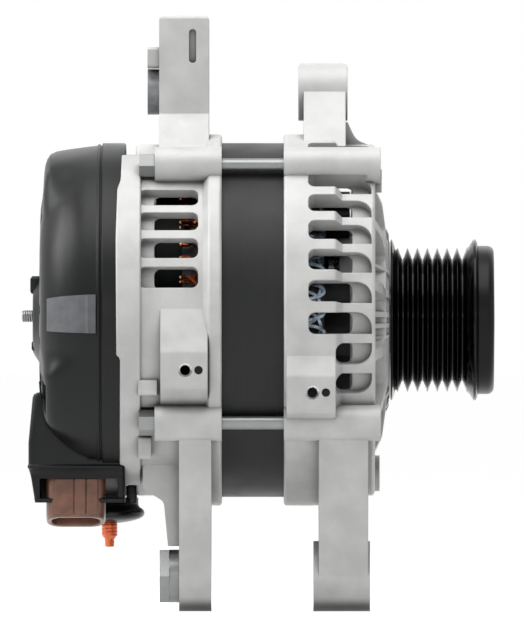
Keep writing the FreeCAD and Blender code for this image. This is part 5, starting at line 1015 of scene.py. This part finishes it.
class FINISH_OT_apply(bpy.types.Operator):
    """Give each carried-over CAD solid its finish"""
    bl_idname = "alternator.apply_finishes"
    bl_label = "Apply finishes"

    def execute(self, context):
        MATERIALS.update(make_materials(context.scene.finish_colours))
        for finish_name, nodes in NODE_FINISHES.items():
            for node in nodes:
                piece = frame["nodes"][node]
                piece.data.materials.clear()
                piece.data.materials.append(MATERIALS[finish_name])
        return {"FINISHED"}


# ---------------------------------------------------------------- studio

# Lamps: name, place and edge in metres, and the power that each follows with its share of it
LAMPS = [("overhead_softbox", (-0.15, -0.37, 1.3), 1.2, "key_power", 1.0),
         ("left_softbox", (-1.35, -0.05, 0.85), 0.8, "fill_power", 10.0),
         ("right_softbox", (1.2, -0.7, 0.35), 0.8, "fill_power", 1.0),
         ("rear_softbox", (0.0, 1.4, 0.8), 1.0, "fill_power", 1.6),
         ("front_lamp", (-0.1, -1.6, 0.24), 0.14, "front_power", 1.0)]
# Edge of the camera's sensor in millimetres, and how near and far it sees in metres
SENSOR, CLIP_NEAR, CLIP_FAR = 36.0, 0.1, 200.0
# The floor's grey, which takes the shadow, what it adds to that for the eye, and its drop below the object
FLOOR_GREY, FLOOR_GLOW, FLOOR_DROP = "#D8D8D8", 0.84, 0.2 * MM


def seen_rays(tree):
    """1 for the rays that reach the eye: straight, mirrored or through glass; 0 for those that only light."""
    path = add_node(tree, "ShaderNodeLightPath")
    seen = path.outputs["Is Camera Ray"]
    for kind in ("Is Glossy Ray", "Is Transmission Ray"):
        seen = add_node(tree, "ShaderNodeMath", {0: seen, 1: path.outputs[kind]}, operation="MAXIMUM").outputs[0]
    return seen


def area_light(name, place, aim, size, power):
    """Square softbox at place, facing aim."""
    light = bpy.data.lights.new(name, "AREA")
    light.shape = "SQUARE"
    light.size = size
    light.energy = power
    lamp = bpy.data.objects.new(name, light)
    bpy.context.scene.collection.objects.link(lamp)
    lamp.location = place
    lamp.rotation_mode = "QUATERNION"
    lamp.rotation_quaternion = (Vector(aim) - Vector(place)).to_track_quat("-Z", "Y")


class STUDIO_OT_build(bpy.types.Operator):
    """Set the floor, backdrop, softboxes and camera"""
    bl_idname = "alternator.build_studio"
    bl_label = "Build studio"

    def execute(self, context):
        sizes = context.scene.studio_sizes
        white = linear(context.scene.finish_colours.backdrop)
        half, height = sizes.floor_size / 2, CAD_BOX[0].z - FLOOR_DROP
        corners = [(-half, -half, height), (half, -half, height), (half, half, height), (-half, half, height)]
        mesh = bpy.data.meshes.new("studio_floor")
        mesh.from_pydata(corners, [], [(0, 1, 2, 3)])
        floor = bpy.data.objects.new("studio_floor", mesh)
        context.scene.collection.objects.link(floor)
        # Matt paper: it takes the object's shadow, and its own white is added only for the eye
        material = bpy.data.materials.new("paper_matt")
        material.use_nodes = True
        tree = material.node_tree
        tree.nodes.clear()
        paper = add_node(tree, "ShaderNodeBsdfDiffuse", {"Color": linear(FLOOR_GREY)})
        seen = add_node(tree, "ShaderNodeMath", {0: seen_rays(tree), 1: FLOOR_GLOW}, operation="MULTIPLY")
        glow = add_node(tree, "ShaderNodeEmission", {"Color": white, "Strength": seen.outputs[0]})
        both = add_node(tree, "ShaderNodeAddShader", {0: paper.outputs[0], 1: glow.outputs[0]})
        add_node(tree, "ShaderNodeOutputMaterial", {"Surface": both.outputs[0]})
        mesh.materials.append(material)

        world = bpy.data.worlds.new("studio_world")
        context.scene.world = world
        world.use_nodes = True
        tree = world.node_tree
        tree.nodes.clear()
        strength = add_node(tree, "ShaderNodeMapRange", {
            "Value": seen_rays(tree), "To Min": sizes.air_light, "To Max": 1.0})
        backdrop = add_node(tree, "ShaderNodeBackground", {
            "Color": white, "Strength": strength.outputs["Result"]})
        add_node(tree, "ShaderNodeOutputWorld", {"Surface": backdrop.outputs[0]})

        centre = (sizes.aim_x, 0.0, sizes.aim_z)
        for name, place, size, power, share in LAMPS:
            area_light(name, place, centre, size, getattr(sizes, power) * share)

        camera = bpy.data.cameras.new("studio_camera")
        camera.sensor_width = SENSOR
        camera.lens = SENSOR * sizes.camera_distance / sizes.view_height
        camera.clip_start, camera.clip_end = CLIP_NEAR, CLIP_FAR
        stand = bpy.data.objects.new("studio_camera", camera)
        context.scene.collection.objects.link(stand)
        stand.location = (sizes.aim_x, -sizes.camera_distance, sizes.aim_z)
        stand.rotation_euler = (math.pi / 2, 0, 0)
        context.scene.camera = stand
        context.scene.view_settings.view_transform = "Standard"
        return {"FINISHED"}


class ALTERNATOR_PT_panel(bpy.types.Panel):
    """Sidebar list of the alternator's build steps"""
    bl_idname = "ALTERNATOR_PT_panel"
    bl_label = "Alternator"
    bl_space_type = "VIEW_3D"
    bl_region_type = "UI"
    bl_category = "Alternator"

    def draw(self, context):
        for operator in OPERATORS:
            self.layout.operator(operator.bl_idname)


GROUPS = {
    "cover_sizes": CoverSizes,
    "winding_sizes": WindingSizes,
    "fan_sizes": FanSizes,
    "pulley_sizes": PulleySizes,
    "thread_sizes": ThreadSizes,
    "finish_colours": FinishColours,
    "studio_sizes": StudioSizes,
}
OPERATORS = [FINISH_OT_apply, COVER_OT_build, SOCKET_OT_build, WINDING_OT_build, FAN_OT_build, PULLEY_OT_build,
             CASTING_OT_build, THREAD_OT_build, SPRING_OT_build, STUDIO_OT_build]


def register():
    """Register the groups, the operators and the panel."""
    for kind in [*GROUPS.values(), *OPERATORS, ALTERNATOR_PT_panel]:
        bpy.utils.register_class(kind)
    for name, group in GROUPS.items():
        setattr(bpy.types.Scene, name, bpy.props.PointerProperty(type=group))


def unregister():
    """Take them away again."""
    for name in GROUPS:
        delattr(bpy.types.Scene, name)
    for kind in [ALTERNATOR_PT_panel, *OPERATORS[::-1], *GROUPS.values()]:
        bpy.utils.unregister_class(kind)


def main():
    """Run every step in order."""
    register()
    bpy.ops.alternator.apply_finishes()
    bpy.ops.alternator.build_cover()
    bpy.ops.alternator.build_socket()
    bpy.ops.alternator.build_windings()
    bpy.ops.alternator.build_fans()
    bpy.ops.alternator.build_pulley()
    bpy.ops.alternator.build_castings()
    bpy.ops.alternator.build_threads()
    bpy.ops.alternator.build_springs()
    bpy.ops.alternator.build_studio()


if __name__ == "__main__":
    main()
